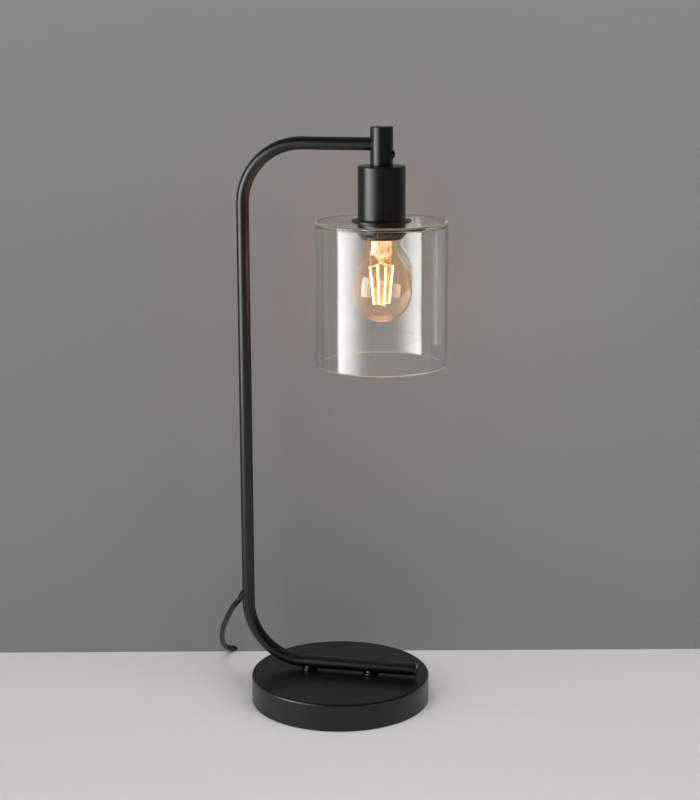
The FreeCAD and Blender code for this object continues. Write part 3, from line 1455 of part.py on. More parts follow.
def make_switch_top():
    """The upper half: a lid with a window and two cheeks that carry the rocker."""
    body = new_body("SwitchTop")
    split = S.switch_base_high
    top = split + S.switch_top_high
    shell = pad(body, "SwitchLid", outline(body, "LidOutline", "XY_Plane", switch_outline(), split),
                S.switch_top_high)
    doc.recompute()
    edges = ["Edge%d" % (n + 1) for n, edge in enumerate(shell.Shape.Edges)
             if edge.BoundBox.ZMin > top.value - 1e-3]
    fillet = body.newObject("PartDesign::Fillet", "LidRound")
    fillet.Base = (shell, edges)
    tie(fillet, "Radius", S.switch_round)
    inside = outline(body, "LidInside", "XY_Plane", switch_outline(S.switch_wall), split)
    cut(body, "LidHollow", inside, S.switch_top_high - S.switch_wall)
    bosses = discs(body, "LidBosses", "XY_Plane",
                   [(BOSS_X, BOSS_Y, BOSS_DIA), (-BOSS_X, -BOSS_Y, BOSS_DIA)], split)
    pad(body, "LidBossPads", bosses, S.switch_top_high - S.switch_wall / 2)
    ceiling = top - S.switch_wall / 2
    cheek_low = PIVOT_Z - S.pivot_dia / 2 - 1.6
    cheeks = outline(body, "CheekOutline", "XZ_Plane", [
        (-3.6, cheek_low), (3.6, cheek_low), (3.6, ceiling), (-3.6, ceiling)])
    width = S.rocker_wide + 2 * S.window_gap + 2 * S.cheek_thick
    pad(body, "Cheeks", cheeks, width, centred=True)
    half_long = S.rocker_long / 2 + S.window_gap
    half_wide = S.rocker_wide / 2 + S.window_gap
    window = outline(body, "WindowOutline", "XY_Plane", [
        (-half_long, -half_wide), (half_long, -half_wide), (half_long, half_wide),
        (-half_long, half_wide)], top)
    cut(body, "Window", window, S.switch_top_high, forward=False)
    pivot = discs(body, "PivotHole", "XZ_Plane", [(0, PIVOT_Z, S.pivot_dia + 0.6)])
    cut(body, "PivotDrilled", pivot, width, centred=True)
    holes = discs(body, "LidScrewHoles", "XY_Plane",
                  [(BOSS_X, BOSS_Y, S.switch_screw_dia), (-BOSS_X, -BOSS_Y, S.switch_screw_dia)],
                  split)
    cut(body, "LidScrewDrilled", holes, 6)
    cord = discs(body, "LidCordHole", "YZ_Plane", [(0, split, S.cord_dia + 2 * S.thread_gap)])
    cut(body, "LidCordCut", cord, S.switch_long, centred=True)
    place_switch(body)
    keep(body, "switch_top")


def root(size):
    """The square root of a size."""
    return Size(math.sqrt(size.value), "sqrt(%s)" % size.formula)


def slope(size):
    """The tangent of an angle in degrees."""
    return Size(math.tan(math.radians(size.value)), "tan(%s)" % size.formula)


ROCKER_UNDER = 3.2


def tilt_rocker(thing):
    """Puts a piece on the rocker's pivot, tilted to the rocker's first stop."""
    turn_about = FreeCAD.Rotation(UP, S.switch_turn.value)
    lean = FreeCAD.Rotation(Vector(0, 1, 0), -S.rocker_angle.value)
    place(thing, S.switch_x, S.switch_y, PIVOT_Z)
    base = thing.Placement.Base
    thing.Placement = FreeCAD.Placement(base, turn_about.multiply(lean))


def make_switch_rocker():
    """The rocker: a shallow V on top, ends round about the pivot, and two pivots."""
    body = new_body("SwitchRocker")
    reach = S.rocker_long / 2
    rise = slope(S.rocker_angle)
    crest = S.rocker_pivot_deep + S.rocker_proud
    spread = rise * rise + 1
    corner = (root(reach * reach * spread - crest * crest) - rise * crest) / spread
    corner_z = crest + rise * corner
    under = root(reach * reach - ROCKER_UNDER * ROCKER_UNDER)
    side = outline(body, "RockerSide", "XZ_Plane", [
        (-under, -ROCKER_UNDER), (under, -ROCKER_UNDER), (corner, corner_z, reach),
        (0, crest), (-corner, corner_z), (-under, -ROCKER_UNDER, reach)][:-1])
    doc.recompute()
    pad(body, "RockerPad", side, S.rocker_wide, centred=True)
    pins = discs(body, "RockerPins", "XZ_Plane", [(0, 0, S.pivot_dia)])
    pad(body, "RockerPinPad", pins, S.rocker_wide + 2 * S.cheek_thick, centred=True)
    tilt_rocker(body)
    keep(body, "switch_rocker")


def make_switch_bridge():
    """The brass contact bridge under the rocker."""
    body = new_body("SwitchBridge")
    low = ROCKER_UNDER + 0.6
    strip = outline(body, "BridgeOutline", "XZ_Plane", [
        (-7, -low), (7, -low), (7, -ROCKER_UNDER), (-7, -ROCKER_UNDER)])
    pad(body, "BridgePad", strip, 4)
    body.Tip.Reversed = True
    tilt_rocker(body)
    keep(body, "switch_bridge")


def make_switch_terminals():
    """Two brass terminals: one tongue reaches the bridge's middle, the other its end."""
    half = S.terminal_long / 2
    middle = S.terminal_apart / 2
    near = middle - half
    far = middle + half
    tongue = PIVOT_Z - ROCKER_UNDER - 0.6 - 1.35
    crest = PIVOT_Z - ROCKER_UNDER - 0.6 - 0.5
    first = new_body("FirstTerminal")
    pad(first, "FirstPad", outline(first, "FirstOutline", "XZ_Plane", [
        (-far, TERMINAL_LOW), (-near, TERMINAL_LOW), (-near, tongue - 0.6), (-2, tongue - 0.6),
        (-1, crest - 0.6), (1, crest - 0.6), (1, crest), (-1.4, crest), (-2.4, tongue),
        (-near, tongue), (-near, TERMINAL_HIGH), (-far, TERMINAL_HIGH)], -TERMINAL_FAR),
        TERMINAL_FAR - TERMINAL_NEAR)
    last = new_body("LastTerminal")
    pad(last, "LastPad", outline(last, "LastOutline", "XZ_Plane", [
        (near, TERMINAL_LOW), (far, TERMINAL_LOW), (far, TERMINAL_HIGH), (near, TERMINAL_HIGH),
        (near, tongue), (4.5, tongue), (4.5, tongue - 0.6), (near, tongue - 0.6)],
        -TERMINAL_FAR), TERMINAL_FAR - TERMINAL_NEAR)
    pair = doc.addObject("Part::Compound", "SwitchTerminals")
    pair.Links = [first, last]
    place_switch(pair)
    keep(pair, "switch_terminals")


def make_switch_cores():
    """The bared cores inside the switch: one runs through, one is broken by the contacts."""
    side = S.core_apart / 2
    stop = S.switch_long / 2 - CORD_TUCK
    face = S.terminal_apart / 2 + S.terminal_long / 2
    along = Vector(0, 1, 0)
    height = S.switch_base_high
    through = solid("Cylinder", "ThroughCore", -stop, -side, height, along, 90,
                    Radius=S.core_dia / 2, Height=stop * 2)
    arriving = solid("Cylinder", "ArrivingCore", -stop, side, height, along, 90,
                     Radius=S.core_dia / 2, Height=stop - face)
    leaving = solid("Cylinder", "LeavingCore", face, side, height, along, 90,
                    Radius=S.core_dia / 2, Height=stop - face)
    cores = doc.addObject("Part::Compound", "SwitchCores")
    cores.Links = [through, arriving, leaving]
    place_switch(cores)
    keep(cores, "switch_cores")


def make_switch_screws():
    """Two screws that hold the halves together from below."""
    pair = []
    for sign in (-1, 1):
        name = "SwitchScrew%d" % (1 + (sign > 0))
        head = S.switch_head_dia / 2
        shank = S.switch_screw_dia / 2
        body = turned(name, [
            (0, 0.6), (head - 0.4, 0.6), (head, 1), (head, 2.8), (shank, 2.8),
            (shank, S.switch_base_high + 5), (0, S.switch_base_high + 5.5)])
        slot = outline(body, name + "Slot", "XY_Plane", [
            (-head, -0.4), (head, -0.4), (head, 0.4), (-head, 0.4)], 0.6)
        cut(body, name + "Slotted", slot, 0.9)
        place(body, BOSS_X * sign, BOSS_Y * sign)
        pair.append(body)
    screws = doc.addObject("Part::Compound", "SwitchScrews")
    screws.Links = pair
    place_switch(screws)
    keep(screws, "switch_screws")


# Flat two-pin mains plug with its strain relief

def place_plug(thing):
    """Puts a piece of the plug in its place on the table; +X is the way to the pins."""
    place(thing, S.plug_x, S.plug_y, S.plug_high / 2, UP, S.plug_turn)


def make_plug_body():
    """The plug's body, lofted from its flat face to its slim tail."""
    body = new_body("PlugBody")
    sections = []
    face = S.relief_long + S.plug_long
    shoulder = face - S.plug_long / 3
    for name, lift, wide, high, corner in (
            ("PlugTail", S.relief_long, S.plug_tail_wide, S.plug_high - 1.5, 5),
            ("PlugShoulder", shoulder, S.plug_wide - 3, S.plug_high, 5),
            ("PlugFace", face, S.plug_wide, S.plug_high, 5)):
        sections.append(outline(body, name, "YZ_Plane", rounded_box(wide / 2, high / 2, corner),
                                lift))
    loft = body.newObject("PartDesign::AdditiveLoft", "PlugLoft")
    loft.Profile = sections[0]
    loft.Sections = sections[1:]
    loft.Ruled = True
    side = S.pin_apart / 2
    holes = discs(body, "PinHoles", "YZ_Plane",
                  [(side, 0, S.pin_dia + 0.6), (-side, 0, S.pin_dia + 0.6)], face)
    cut(body, "PinHolesCut", holes, 8, forward=False)
    place_plug(body)
    keep(body, "plug_body")


def make_plug_pins():
    """Two round pins with insulated roots."""
    side = S.pin_apart / 2
    face = S.relief_long + S.plug_long
    pair = []
    for sign in (-1, 1):
        name = "PlugPin%d" % (1 + (sign > 0))
        thick = S.pin_dia / 2
        sleeve = S.sleeve_dia / 2
        body = turned(name, [
            (0, face - 8), (thick + 0.3, face - 8), (thick + 0.3, face), (sleeve, face),
            (sleeve, face + S.sleeve_long), (thick, face + S.sleeve_long),
            (thick, face + S.pin_long - 1.5), (thick - 1.5, face + S.pin_long, 1.5),
            (0, face + S.pin_long)])
        place(body, 0, side * sign, 0, Vector(0, 1, 0), 90)
        pair.append(body)
    pins = doc.addObject("Part::Compound", "PlugPins")
    pins.Links = pair
    place_plug(pins)
    keep(pins, "plug_pins")


def make_plug_relief():
    """The ribbed strain relief between cord and plug."""
    bore = S.cord_dia / 2 + S.thread_gap
    stop = S.relief_long - 4
    slim = S.cord_dia / 2 + 1.2
    wide = S.plug_tail_wide / 2 - 0.8
    ribs = 6
    pitch = (S.relief_long - 4) / ribs
    growth = (wide - slim) / ribs
    points = [(bore, 0), (slim, 0)]
    for number in range(ribs):
        edge = slim + growth * number
        start = pitch * number
        points += [(edge, start + pitch * 0.6), (edge - 0.8, start + pitch * 0.6),
                   (edge - 0.8, start + pitch), (edge + growth, start + pitch)]
    points += [(wide, S.relief_long), (0, S.relief_long), (0, stop), (bore, stop)]
    body = turned("PlugRelief", points)
    relief_place = FreeCAD.Rotation(Vector(0, 1, 0), 90)
    group = doc.addObject("Part::Compound", "PlugReliefPlaced")
    body.Placement = FreeCAD.Placement(Vector(0, 0, 0), relief_place)
    group.Links = [body]
    place_plug(group)
    keep(group, "plug_relief")


def main():
    """Builds every sub-part, checks the document and writes the files."""
    make_base_cover()
    make_base_weight()
    make_base_pad()
    make_foot_screws()
    make_foot_washers()
    make_foot_spacers()
    make_thread_inserts()
    make_stem_tube()
    make_end_plug()
    make_cord_gland()
    make_inner_cores()
    make_head_post()
    make_side_screw()
    make_nipple()
    make_nipple_nut()
    make_holder_cup()
    make_holder_cap()
    make_holder_skirt()
    make_ceramic_block()
    make_terminal_screws()
    make_screw_shell()
    make_centre_contact()
    make_shade_collar()
    make_shade_ring()
    make_glass_shade()
    make_bulb_cap()
    make_bulb_insulator()
    make_bulb_contact()
    make_bulb_glass()
    make_bulb_mount()
    make_bulb_filaments()
    make_bulb_leads()
    make_mains_cord()
    make_cord_link()
    make_cord_coil()
    make_cord_tail()
    make_cord_tie()
    make_switch_base()
    make_switch_top()
    make_switch_rocker()
    make_switch_bridge()
    make_switch_terminals()
    make_switch_cores()
    make_switch_screws()
    make_plug_body()
    make_plug_pins()
    make_plug_relief()
    doc.recompute()
    write_parts()


def write_parts():
    """Stops at any failed object, then writes one file for each sub-part."""
    for thing in doc.Objects:
        if "Invalid" in thing.State or "Error" in thing.State:
            raise ValueError("%s failed: %s" % (thing.Label, thing.State))
    os.makedirs("parts", exist_ok=True)
    for thing in parts:
        shape = thing.Shape
        if shape.isNull() or not shape.isValid():
            raise ValueError("%s has no valid shape" % thing.Label)
        shape.exportStep("parts/%s.step" % thing.Label)
        print("%-16s %2d solids %10.1f mm3" % (thing.Label, len(shape.Solids), shape.Volume))


main()
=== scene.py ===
"""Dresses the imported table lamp: finishes, glass, lit bulb, cord, small details, stage and camera."""

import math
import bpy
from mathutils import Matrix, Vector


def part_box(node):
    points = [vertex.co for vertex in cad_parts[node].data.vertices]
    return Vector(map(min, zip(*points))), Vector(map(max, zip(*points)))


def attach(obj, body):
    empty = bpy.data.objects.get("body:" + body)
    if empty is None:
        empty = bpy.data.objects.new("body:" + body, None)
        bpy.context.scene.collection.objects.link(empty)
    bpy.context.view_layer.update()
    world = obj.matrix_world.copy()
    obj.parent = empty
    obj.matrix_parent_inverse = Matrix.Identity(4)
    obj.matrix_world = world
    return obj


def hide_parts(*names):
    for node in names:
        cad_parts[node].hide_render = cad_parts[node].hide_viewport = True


bl_info = {
    "name": "Glass Shade Lamp",
    "version": (1, 0, 0),
    "blender": (4, 5, 0),
    "location": "View3D > Sidebar > Lamp",
    "description": "Finishes, cord, small details, stage and camera for the packed table lamp",
    "category": "Object",
}

import bmesh
import bpy
from bpy.props import FloatProperty, FloatVectorProperty, IntProperty, PointerProperty
from bpy.types import Operator, Panel, PropertyGroup
from mathutils import Matrix, Vector

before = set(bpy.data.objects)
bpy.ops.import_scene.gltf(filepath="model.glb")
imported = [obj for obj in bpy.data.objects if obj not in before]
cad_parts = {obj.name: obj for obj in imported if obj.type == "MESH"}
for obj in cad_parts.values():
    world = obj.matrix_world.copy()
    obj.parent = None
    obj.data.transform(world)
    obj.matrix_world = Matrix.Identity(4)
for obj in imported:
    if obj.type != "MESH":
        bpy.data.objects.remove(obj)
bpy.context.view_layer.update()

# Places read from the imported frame, in metres

SHADE_LOW, SHADE_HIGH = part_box("glass_shade")
SKIRT_LOW, SKIRT_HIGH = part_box("holder_skirt")
CAP_LOW, CAP_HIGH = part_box("bulb_cap")
HEAD = (SHADE_LOW + SHADE_HIGH) / 2
SHADE_RADIUS = (SHADE_HIGH.x - SHADE_LOW.x) / 2
SKIRT_RADIUS = (SKIRT_HIGH.x - SKIRT_LOW.x) / 2
CAP_RADIUS = (CAP_HIGH.x - CAP_LOW.x) / 2


# Sizes and colours that a user may change

def colour(name, default, description):
    """A colour property."""
    return FloatVectorProperty(name=name, description=description, subtype="COLOR", size=3,
                               min=0, max=1, default=default)


def share(name, default, description):
    """A property between nought and one."""
    return FloatProperty(name=name, description=description, subtype="FACTOR", min=0, max=1,
                         default=default)


def length(name, default, description):
    """A length in metres."""
    return FloatProperty(name=name, description=description, subtype="DISTANCE", unit="LENGTH",
                         default=default, precision=4)


class LampFinishes(PropertyGroup):
    """Colours and roughness of the lamp's surfaces."""

    coat: colour("Powder coat", (0.002, 0.002, 0.0023), "Black coat of the metal parts")
    coat_roughness: share("Coat roughness", 0.31, "Roughness of the powder coat")
    plating: colour("Dark plating", (0.055, 0.055, 0.058), "Polished plating of the foot spacers")
    plastic: colour("Black plastic", (0.005, 0.005, 0.0055), "Moulded black plastic")
    glass: colour("Shade glass", (0.985, 0.99, 0.975), "Tint of the shade's glass")
    bulb: colour("Bulb glass", (0.95, 0.87, 0.77), "Tint of the bulb's glass")
    filament: colour("Filament", (1.0, 0.56, 0.22), "Colour of the lit filaments")
    filament_strength: FloatProperty(name="Filament strength", min=0, default=4.5,
                                     description="Brightness of the lit filaments")
    bulb_hue: colour("Bulb light's colour", (1.0, 0.4, 0.12), "Colour of the light on the lamp")
    bulb_light: FloatProperty(name="Bulb light", min=0, default=0.8, unit="POWER",
                              description="Power of the light that the filaments give")
    brass: colour("Brass", (0.68, 0.5, 0.22), "Brass of contacts and threads")
    sheath: colour("Cord sheath", (0.006, 0.006, 0.006), "Sheath of the mains cord")


class LampCord(PropertyGroup):
    """Sizes of the mains cord and its coil."""

    diameter: length("Diameter", 0.0056, "Outside diameter of the cord")
    coil_middle: length("Coil middle", 0.067, "Diameter at the middle of the coil's turns")
    coil_gap: length("Coil gap", 0.00072, "Gap between neighbouring turns")
    coil_loops: IntProperty(name="Coil loops", default=6, min=1, max=20,
                            description="Whole turns of the coil, besides the rest angle")
    lift: length("Coil lift", 0.00095, "Height of the coil's lower turns above the table")
    turn_points: IntProperty(name="Points per turn", default=24, min=12, max=64,
                             description="Control points in one turn of the coil")


class LampStage(PropertyGroup):
    """Colours and brightness of the stage."""

    floor: colour("Floor", (0.5, 0.495, 0.49), "Plain pale floor")
    wall: colour("Wall", (0.2, 0.2, 0.204), "Plain backdrop")
    fill: FloatProperty(name="Fill light", default=3.6, min=0,
                        description="Radiance of the broad soft lights")
    key: FloatProperty(name="Key softbox", default=8.5, min=0,
                       description="Radiance of the tall softbox in reflections")
    sky: share("Sky", 0.3, "Brightness of the even light from all round")
    mirrored_sky: share("Mirrored sky", 0.035, "Brightness of that light in reflections")


GROUPS = (("lamp_finishes", LampFinishes), ("lamp_cord", LampCord), ("lamp_stage", LampStage))


# Finishes

class Finish:
    """A material made from one shader and procedural detail in the part's own space."""

    def __init__(self, name, base, roughness, metallic=0.0):
        self.material = bpy.data.materials.new(name)
        self.material.use_nodes = True
        self.tree = self.material.node_tree
        self.shader = self.tree.nodes["Principled BSDF"]
        self.output = self.tree.nodes["Material Output"]
        self.base = tuple(base)
        self.roughness = roughness
        self.shader.inputs["Base Color"].default_value = (*self.base, 1)
        self.shader.inputs["Roughness"].default_value = roughness
        self.shader.inputs["Metallic"].default_value = metallic
        self.space = self.tree.nodes.new("ShaderNodeTexCoord").outputs["Object"]

    def set(self, **sockets):
        """Sets shader sockets that are the same all over the surface."""
        for name, amount in sockets.items():
            self.shader.inputs[name.replace("_", " ")].default_value = amount
        return self

    def link(self, start, end):
        """Links two sockets."""
        self.tree.links.new(start, end)

    def node(self, kind, **values):
        """A new node with input values set by name."""
        made = self.tree.nodes.new("ShaderNode" + kind)
        for name, amount in values.items():
            made.inputs[name.replace("_", " ")].default_value = amount
        return made

    def noise(self, scale, detail=2.0, stretch=(1, 1, 1)):
        """A cloudy pattern with features of about one metre divided by its scale."""
        mapping = self.node("Mapping")
        mapping.inputs["Scale"].default_value = stretch
        self.link(self.space, mapping.inputs["Vector"])
        cloud = self.node("TexNoise", Scale=scale, Detail=detail)
        self.link(mapping.outputs["Vector"], cloud.inputs["Vector"])
        return cloud.outputs["Fac"]

    def waves(self, scale, axis, distortion=0.0):
        """Straight bands across an axis."""
        wave = self.node("TexWave", Scale=scale, Distortion=distortion)
        wave.bands_direction = axis
        self.link(self.space, wave.inputs["Vector"])
        return wave.outputs["Fac"]

    def ramp(self, pattern, low, high, start=0.3, end=0.7):
        """A pattern turned into a range of amounts."""
        spread = self.node("MapRange", From_Min=start, From_Max=end, To_Min=low, To_Max=high)
        self.link(pattern, spread.inputs["Value"])
        return spread.outputs["Result"]

    def blend(self, pattern, first, second, start=0.3, end=0.7):
        """Two colours mixed by a pattern, into the base colour."""
        mix = self.tree.nodes.new("ShaderNodeMix")
        mix.data_type = "RGBA"
        self.link(self.ramp(pattern, 0, 1, start, end), mix.inputs["Factor"])
        colours = [socket for socket in mix.inputs if socket.type == "RGBA"]
        colours[0].default_value = (*first, 1)
        colours[1].default_value = (*second, 1)
        made = [socket for socket in mix.outputs if socket.type == "RGBA"][0]
        self.link(made, self.shader.inputs["Base Color"])
        return self

    def mottle(self, amount, scale, detail=2.0):
        """Varies the base colour a little."""
        dark = [part * (1 - amount) for part in self.base]
        pale = [min(part * (1 + amount), 1) for part in self.base]
        return self.blend(self.noise(scale, detail), dark, pale)

    def uneven(self, amount, scale, detail=2.0, stretch=(1, 1, 1)):
        """Varies the roughness a little."""
        low = max(self.roughness - amount, 0)
        spread = self.ramp(self.noise(scale, detail, stretch), low, self.roughness + amount)
        self.link(spread, self.shader.inputs["Roughness"])
        return self

    def bump(self, pattern, height, strength=1.0):
        """Raises the surface by a pattern; heights in metres, added to any earlier bump."""
        bump = self.node("Bump", Strength=strength, Distance=height)
        self.link(pattern, bump.inputs["Height"])
        earlier = self.shader.inputs["Normal"].links
        if earlier:
            self.link(earlier[0].from_socket, bump.inputs["Normal"])
        self.link(bump.outputs["Normal"], self.shader.inputs["Normal"])
        return self

    def let_lamps_through(self):
        """Lets light pass the glass, so that it casts only a faint shadow."""
        path = self.node("LightPath")
        clear = self.node("BsdfTransparent")
        clear.inputs["Color"].default_value = (*self.base, 1)
        mix = self.node("MixShader")
        self.link(path.outputs["Is Shadow Ray"], mix.inputs[0])
        self.link(self.shader.outputs["BSDF"], mix.inputs[1])
        self.link(clear.outputs["BSDF"], mix.inputs[2])
        self.link(mix.outputs["Shader"], self.output.inputs["Surface"])
        return self


def dress(finish, *names):
    """Gives CAD nodes or pieces a finish."""
    for name in names:
        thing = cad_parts.get(name) or bpy.data.objects[name]
        for slot in thing.material_slots:
            slot.material = finish.material
        if not thing.material_slots:
            thing.data.materials.append(finish.material)


def powder_coat(sizes):
    """Satin black powder coat with its fine orange peel."""
    finish = Finish("powder_coat", sizes.coat, sizes.coat_roughness)
    finish.mottle(0.25, 900)
    finish.uneven(0.02, 30)
    finish.bump(finish.noise(1300, 1.5), 0.00003, 0.5)
    finish.bump(finish.noise(260, 1.0), 0.00004, 0.35)
    return finish


def moulded(name, base, roughness, grain=2200, height=0.00002):
    """Moulded plastic with a fine eroded grain."""
    finish = Finish(name, base, roughness)
    finish.mottle(0.2, 700)
    finish.uneven(0.05, 60)
    finish.bump(finish.noise(grain, 2.0), height, 0.5)
    return finish


def rubber(name, base, roughness=0.62):
    """Matt rubber with a dusty, uneven skin."""
    finish = Finish(name, base, roughness)
    finish.mottle(0.35, 400, 4.0)
    finish.uneven(0.08, 150, 4.0)
    finish.bump(finish.noise(900, 3.0), 0.00004, 0.6)
    return finish


def metal(name, base, roughness, brushed=(1, 1, 1)):
    """Bare or plated metal with fine tool marks."""
    finish = Finish(name, base, roughness, metallic=1.0)
    finish.mottle(0.08, 200)
    finish.uneven(roughness * 0.3, 500, 3.0, brushed)
    finish.bump(finish.noise(1600, 2.0, brushed), 0.00001, 0.5)
    return finish


def clear_glass(name, tint, waviness, ior=1.5):
    """Clear glass with the slight waviness of blown or drawn glass."""
    finish = Finish(name, tint, 0.0)
    finish.set(Transmission_Weight=1.0, IOR=ior)
    finish.bump(finish.noise(14, 1.0, (1, 1, 0.35)), waviness, 0.6)
    return finish.let_lamps_through()


# Meshes

def new_piece(name, vertices, faces, finish, body, smooth=True):
    """A mesh piece that rides on a body."""
    mesh = bpy.data.meshes.new(name)
    mesh.from_pydata(vertices, [], faces)
    mesh.validate()
    work = bmesh.new()
    work.from_mesh(mesh)
    bmesh.ops.recalc_face_normals(work, faces=work.faces)
    work.to_mesh(mesh)
    work.free()
    if smooth:
        mesh.shade_smooth()
    piece = bpy.data.objects.new(name, mesh)
    bpy.context.scene.collection.objects.link(piece)
    mesh.materials.append(finish.material)
    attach(piece, body)
    return piece


def thread_ridge(name, centre, radius, low, high, pitch, rise, finish, body):
    """A raised screw thread round an upright axis, running out at both ends."""
    steps = 40
    sink = 0.0002
    root_half = 0.42
    crest_half = 0.16
    run_out = steps * 0.25
    turns = (high - low) / pitch - 0.5
    count = int(turns * steps)
    vertices = []
    faces = []
    for number in range(count + 1):
        angle = 2 * math.pi * number / steps
        height = low + pitch * 0.25 + pitch * number / steps
        fade = min(1, number / run_out, (count - number) / run_out)
        crest = radius + rise * max(fade, 0.02)
        root = radius - sink
        for out, up in ((root, -root_half), (crest, -crest_half), (crest, crest_half),
                        (root, root_half)):
            vertices.append((centre.x + out * math.cos(angle), centre.y + out * math.sin(angle),
                             height + up * pitch))
        if number:
            for side in range(4):
                after = (side + 1) % 4
                first = (number - 1) * 4
                faces.append((first + side, first + after, first + 4 + after, first + 4 + side))
    faces.append((0, 1, 2, 3))
    last = count * 4
    faces.append((last + 3, last + 2, last + 1, last))
    return new_piece(name, vertices, faces, finish, body)


# Pieces

def finishes():
    """The sizes and colours of the finishes."""
    return bpy.context.scene.lamp_finishes


class LAMP_OT_metalwork(Operator):
    """Dresses the base, the stem, the post, the cup and the collar"""

    bl_idname = "lamp.metalwork"
    bl_label = "Metalwork"

    def execute(self, context):
        coat = powder_coat(finishes())
        dress(coat, "base_cover", "stem_tube", "head_post", "holder_cup", "shade_collar")
        iron = Finish("cast_iron", (0.06, 0.055, 0.05), 0.7, metallic=0.8)
        iron.mottle(0.3, 120, 4.0)
        iron.bump(iron.noise(350, 4.0), 0.0002, 0.7)
        dress(iron, "base_weight")
        foam = rubber("foam_pad", (0.012, 0.012, 0.012), 0.85)
        foam.bump(foam.noise(2600, 2.0), 0.0002, 0.7)
        dress(foam, "base_pad")
        return {"FINISHED"}


class LAMP_OT_fittings(Operator):
    """Dresses screws, spacers, the end plug and the cord's outlet"""

    bl_idname = "lamp.fittings"
    bl_label = "Fittings"

    def execute(self, context):
        sizes = finishes()
        dress(metal("dark_plating", sizes.plating, 0.18), "foot_spacers")
        dress(metal("zinc_steel", (0.55, 0.56, 0.58), 0.32), "base_screws", "base_washers",
              "thread_inserts", "switch_screws")
        dress(metal("blackened_steel", (0.035, 0.035, 0.038), 0.3), "post_screw")
        dress(moulded("end_plug_gloss", sizes.plastic, 0.14), "tube_end_plug")
        outlet = rubber("outlet_rubber", (0.006, 0.006, 0.006), 0.32)
        outlet.set(Specular_IOR_Level=0.3)
        dress(outlet, "cord_gland")
        return {"FINISHED"}


class LAMP_OT_holder(Operator):
    """Dresses the lampholder and gives its skirt a screw thread"""

    bl_idname = "lamp.holder"
    bl_label = "Lampholder"

    def execute(self, context):
        sizes = finishes()
        plastic = moulded("holder_plastic", sizes.plastic, 0.33)
        dress(plastic, "holder_cap", "holder_skirt", "shade_ring")
        brass = metal("brass", sizes.brass, 0.28)
        dress(brass, "head_nipple", "nipple_nut", "terminal_screws", "screw_shell",
              "centre_contact", "switch_bridge", "switch_terminals")
        ceramic = Finish("glazed_ceramic", (0.78, 0.77, 0.73), 0.18)
        ceramic.mottle(0.04, 90)
        ceramic.bump(ceramic.noise(200, 2.0), 0.00004, 0.5)
        dress(ceramic, "ceramic_block")
        low = SKIRT_LOW.z + 0.001
        high = SHADE_HIGH.z - 0.004
        pitch = 0.0022
        rise = 0.0002
        thread_ridge("skirt_thread", HEAD, SKIRT_RADIUS, low, high, pitch, rise, plastic, "lamp")
        return {"FINISHED"}


class LAMP_OT_shade(Operator):
    """Dresses the glass shade, with a painted glow on its rims"""

    bl_idname = "lamp.shade"
    bl_label = "Glass shade"

    def execute(self, context):
        glass = clear_glass("shade_glass", finishes().glass, 0.0002)
        self.paint_rim_glow(glass)
        dress(glass, "glass_shade")
        return {"FINISHED"}

    def paint_rim_glow(self, glass):
        """Painted glow on the glass's rims: emission standing in for the bulb's light leaving the glass
        there.
        """
        parts = glass.node("SeparateXYZ")
        glass.link(glass.space, parts.inputs["Vector"])
        offset = glass.node("VectorMath")
        offset.operation = "SUBTRACT"
        offset.inputs[1].default_value = (HEAD.x, HEAD.y, 0)
        flat = glass.node("VectorMath")
        flat.operation = "MULTIPLY"
        flat.inputs[1].default_value = (1, 1, 0)
        away = glass.node("VectorMath")
        away.operation = "LENGTH"
        glass.link(glass.space, offset.inputs[0])
        glass.link(offset.outputs["Vector"], flat.inputs[0])
        glass.link(flat.outputs["Vector"], away.inputs[0])
        start = 0.0022
        full = 0.0012
        lip = 0.0004
        outer = glass.ramp(away.outputs["Value"], 0, 1, SHADE_RADIUS - start, SHADE_RADIUS - full)
        upper = glass.ramp(parts.outputs["Z"], 0, 0.16, SHADE_HIGH.z - start, SHADE_HIGH.z - full)
        lower = glass.ramp(parts.outputs["Z"], 0.2, 0, SHADE_LOW.z + lip, SHADE_LOW.z + full)
        corner = glass.node("Math")
        corner.operation = "MULTIPLY"
        painted_glow_strength = glass.node("Math")
        painted_glow_strength.operation = "ADD"
        glass.link(outer, corner.inputs[0])
        glass.link(upper, corner.inputs[1])
        glass.link(corner.outputs["Value"], painted_glow_strength.inputs[0])
        glass.link(lower, painted_glow_strength.inputs[1])
        # Painted glow: warm emission on the shade's outer top corner and bottom lip, though the glass
        # gives no light
        glass.set(Emission_Color=(1, 0.86, 0.55, 1))
        glass.link(painted_glow_strength.outputs["Value"], glass.shader.inputs["Emission Strength"])


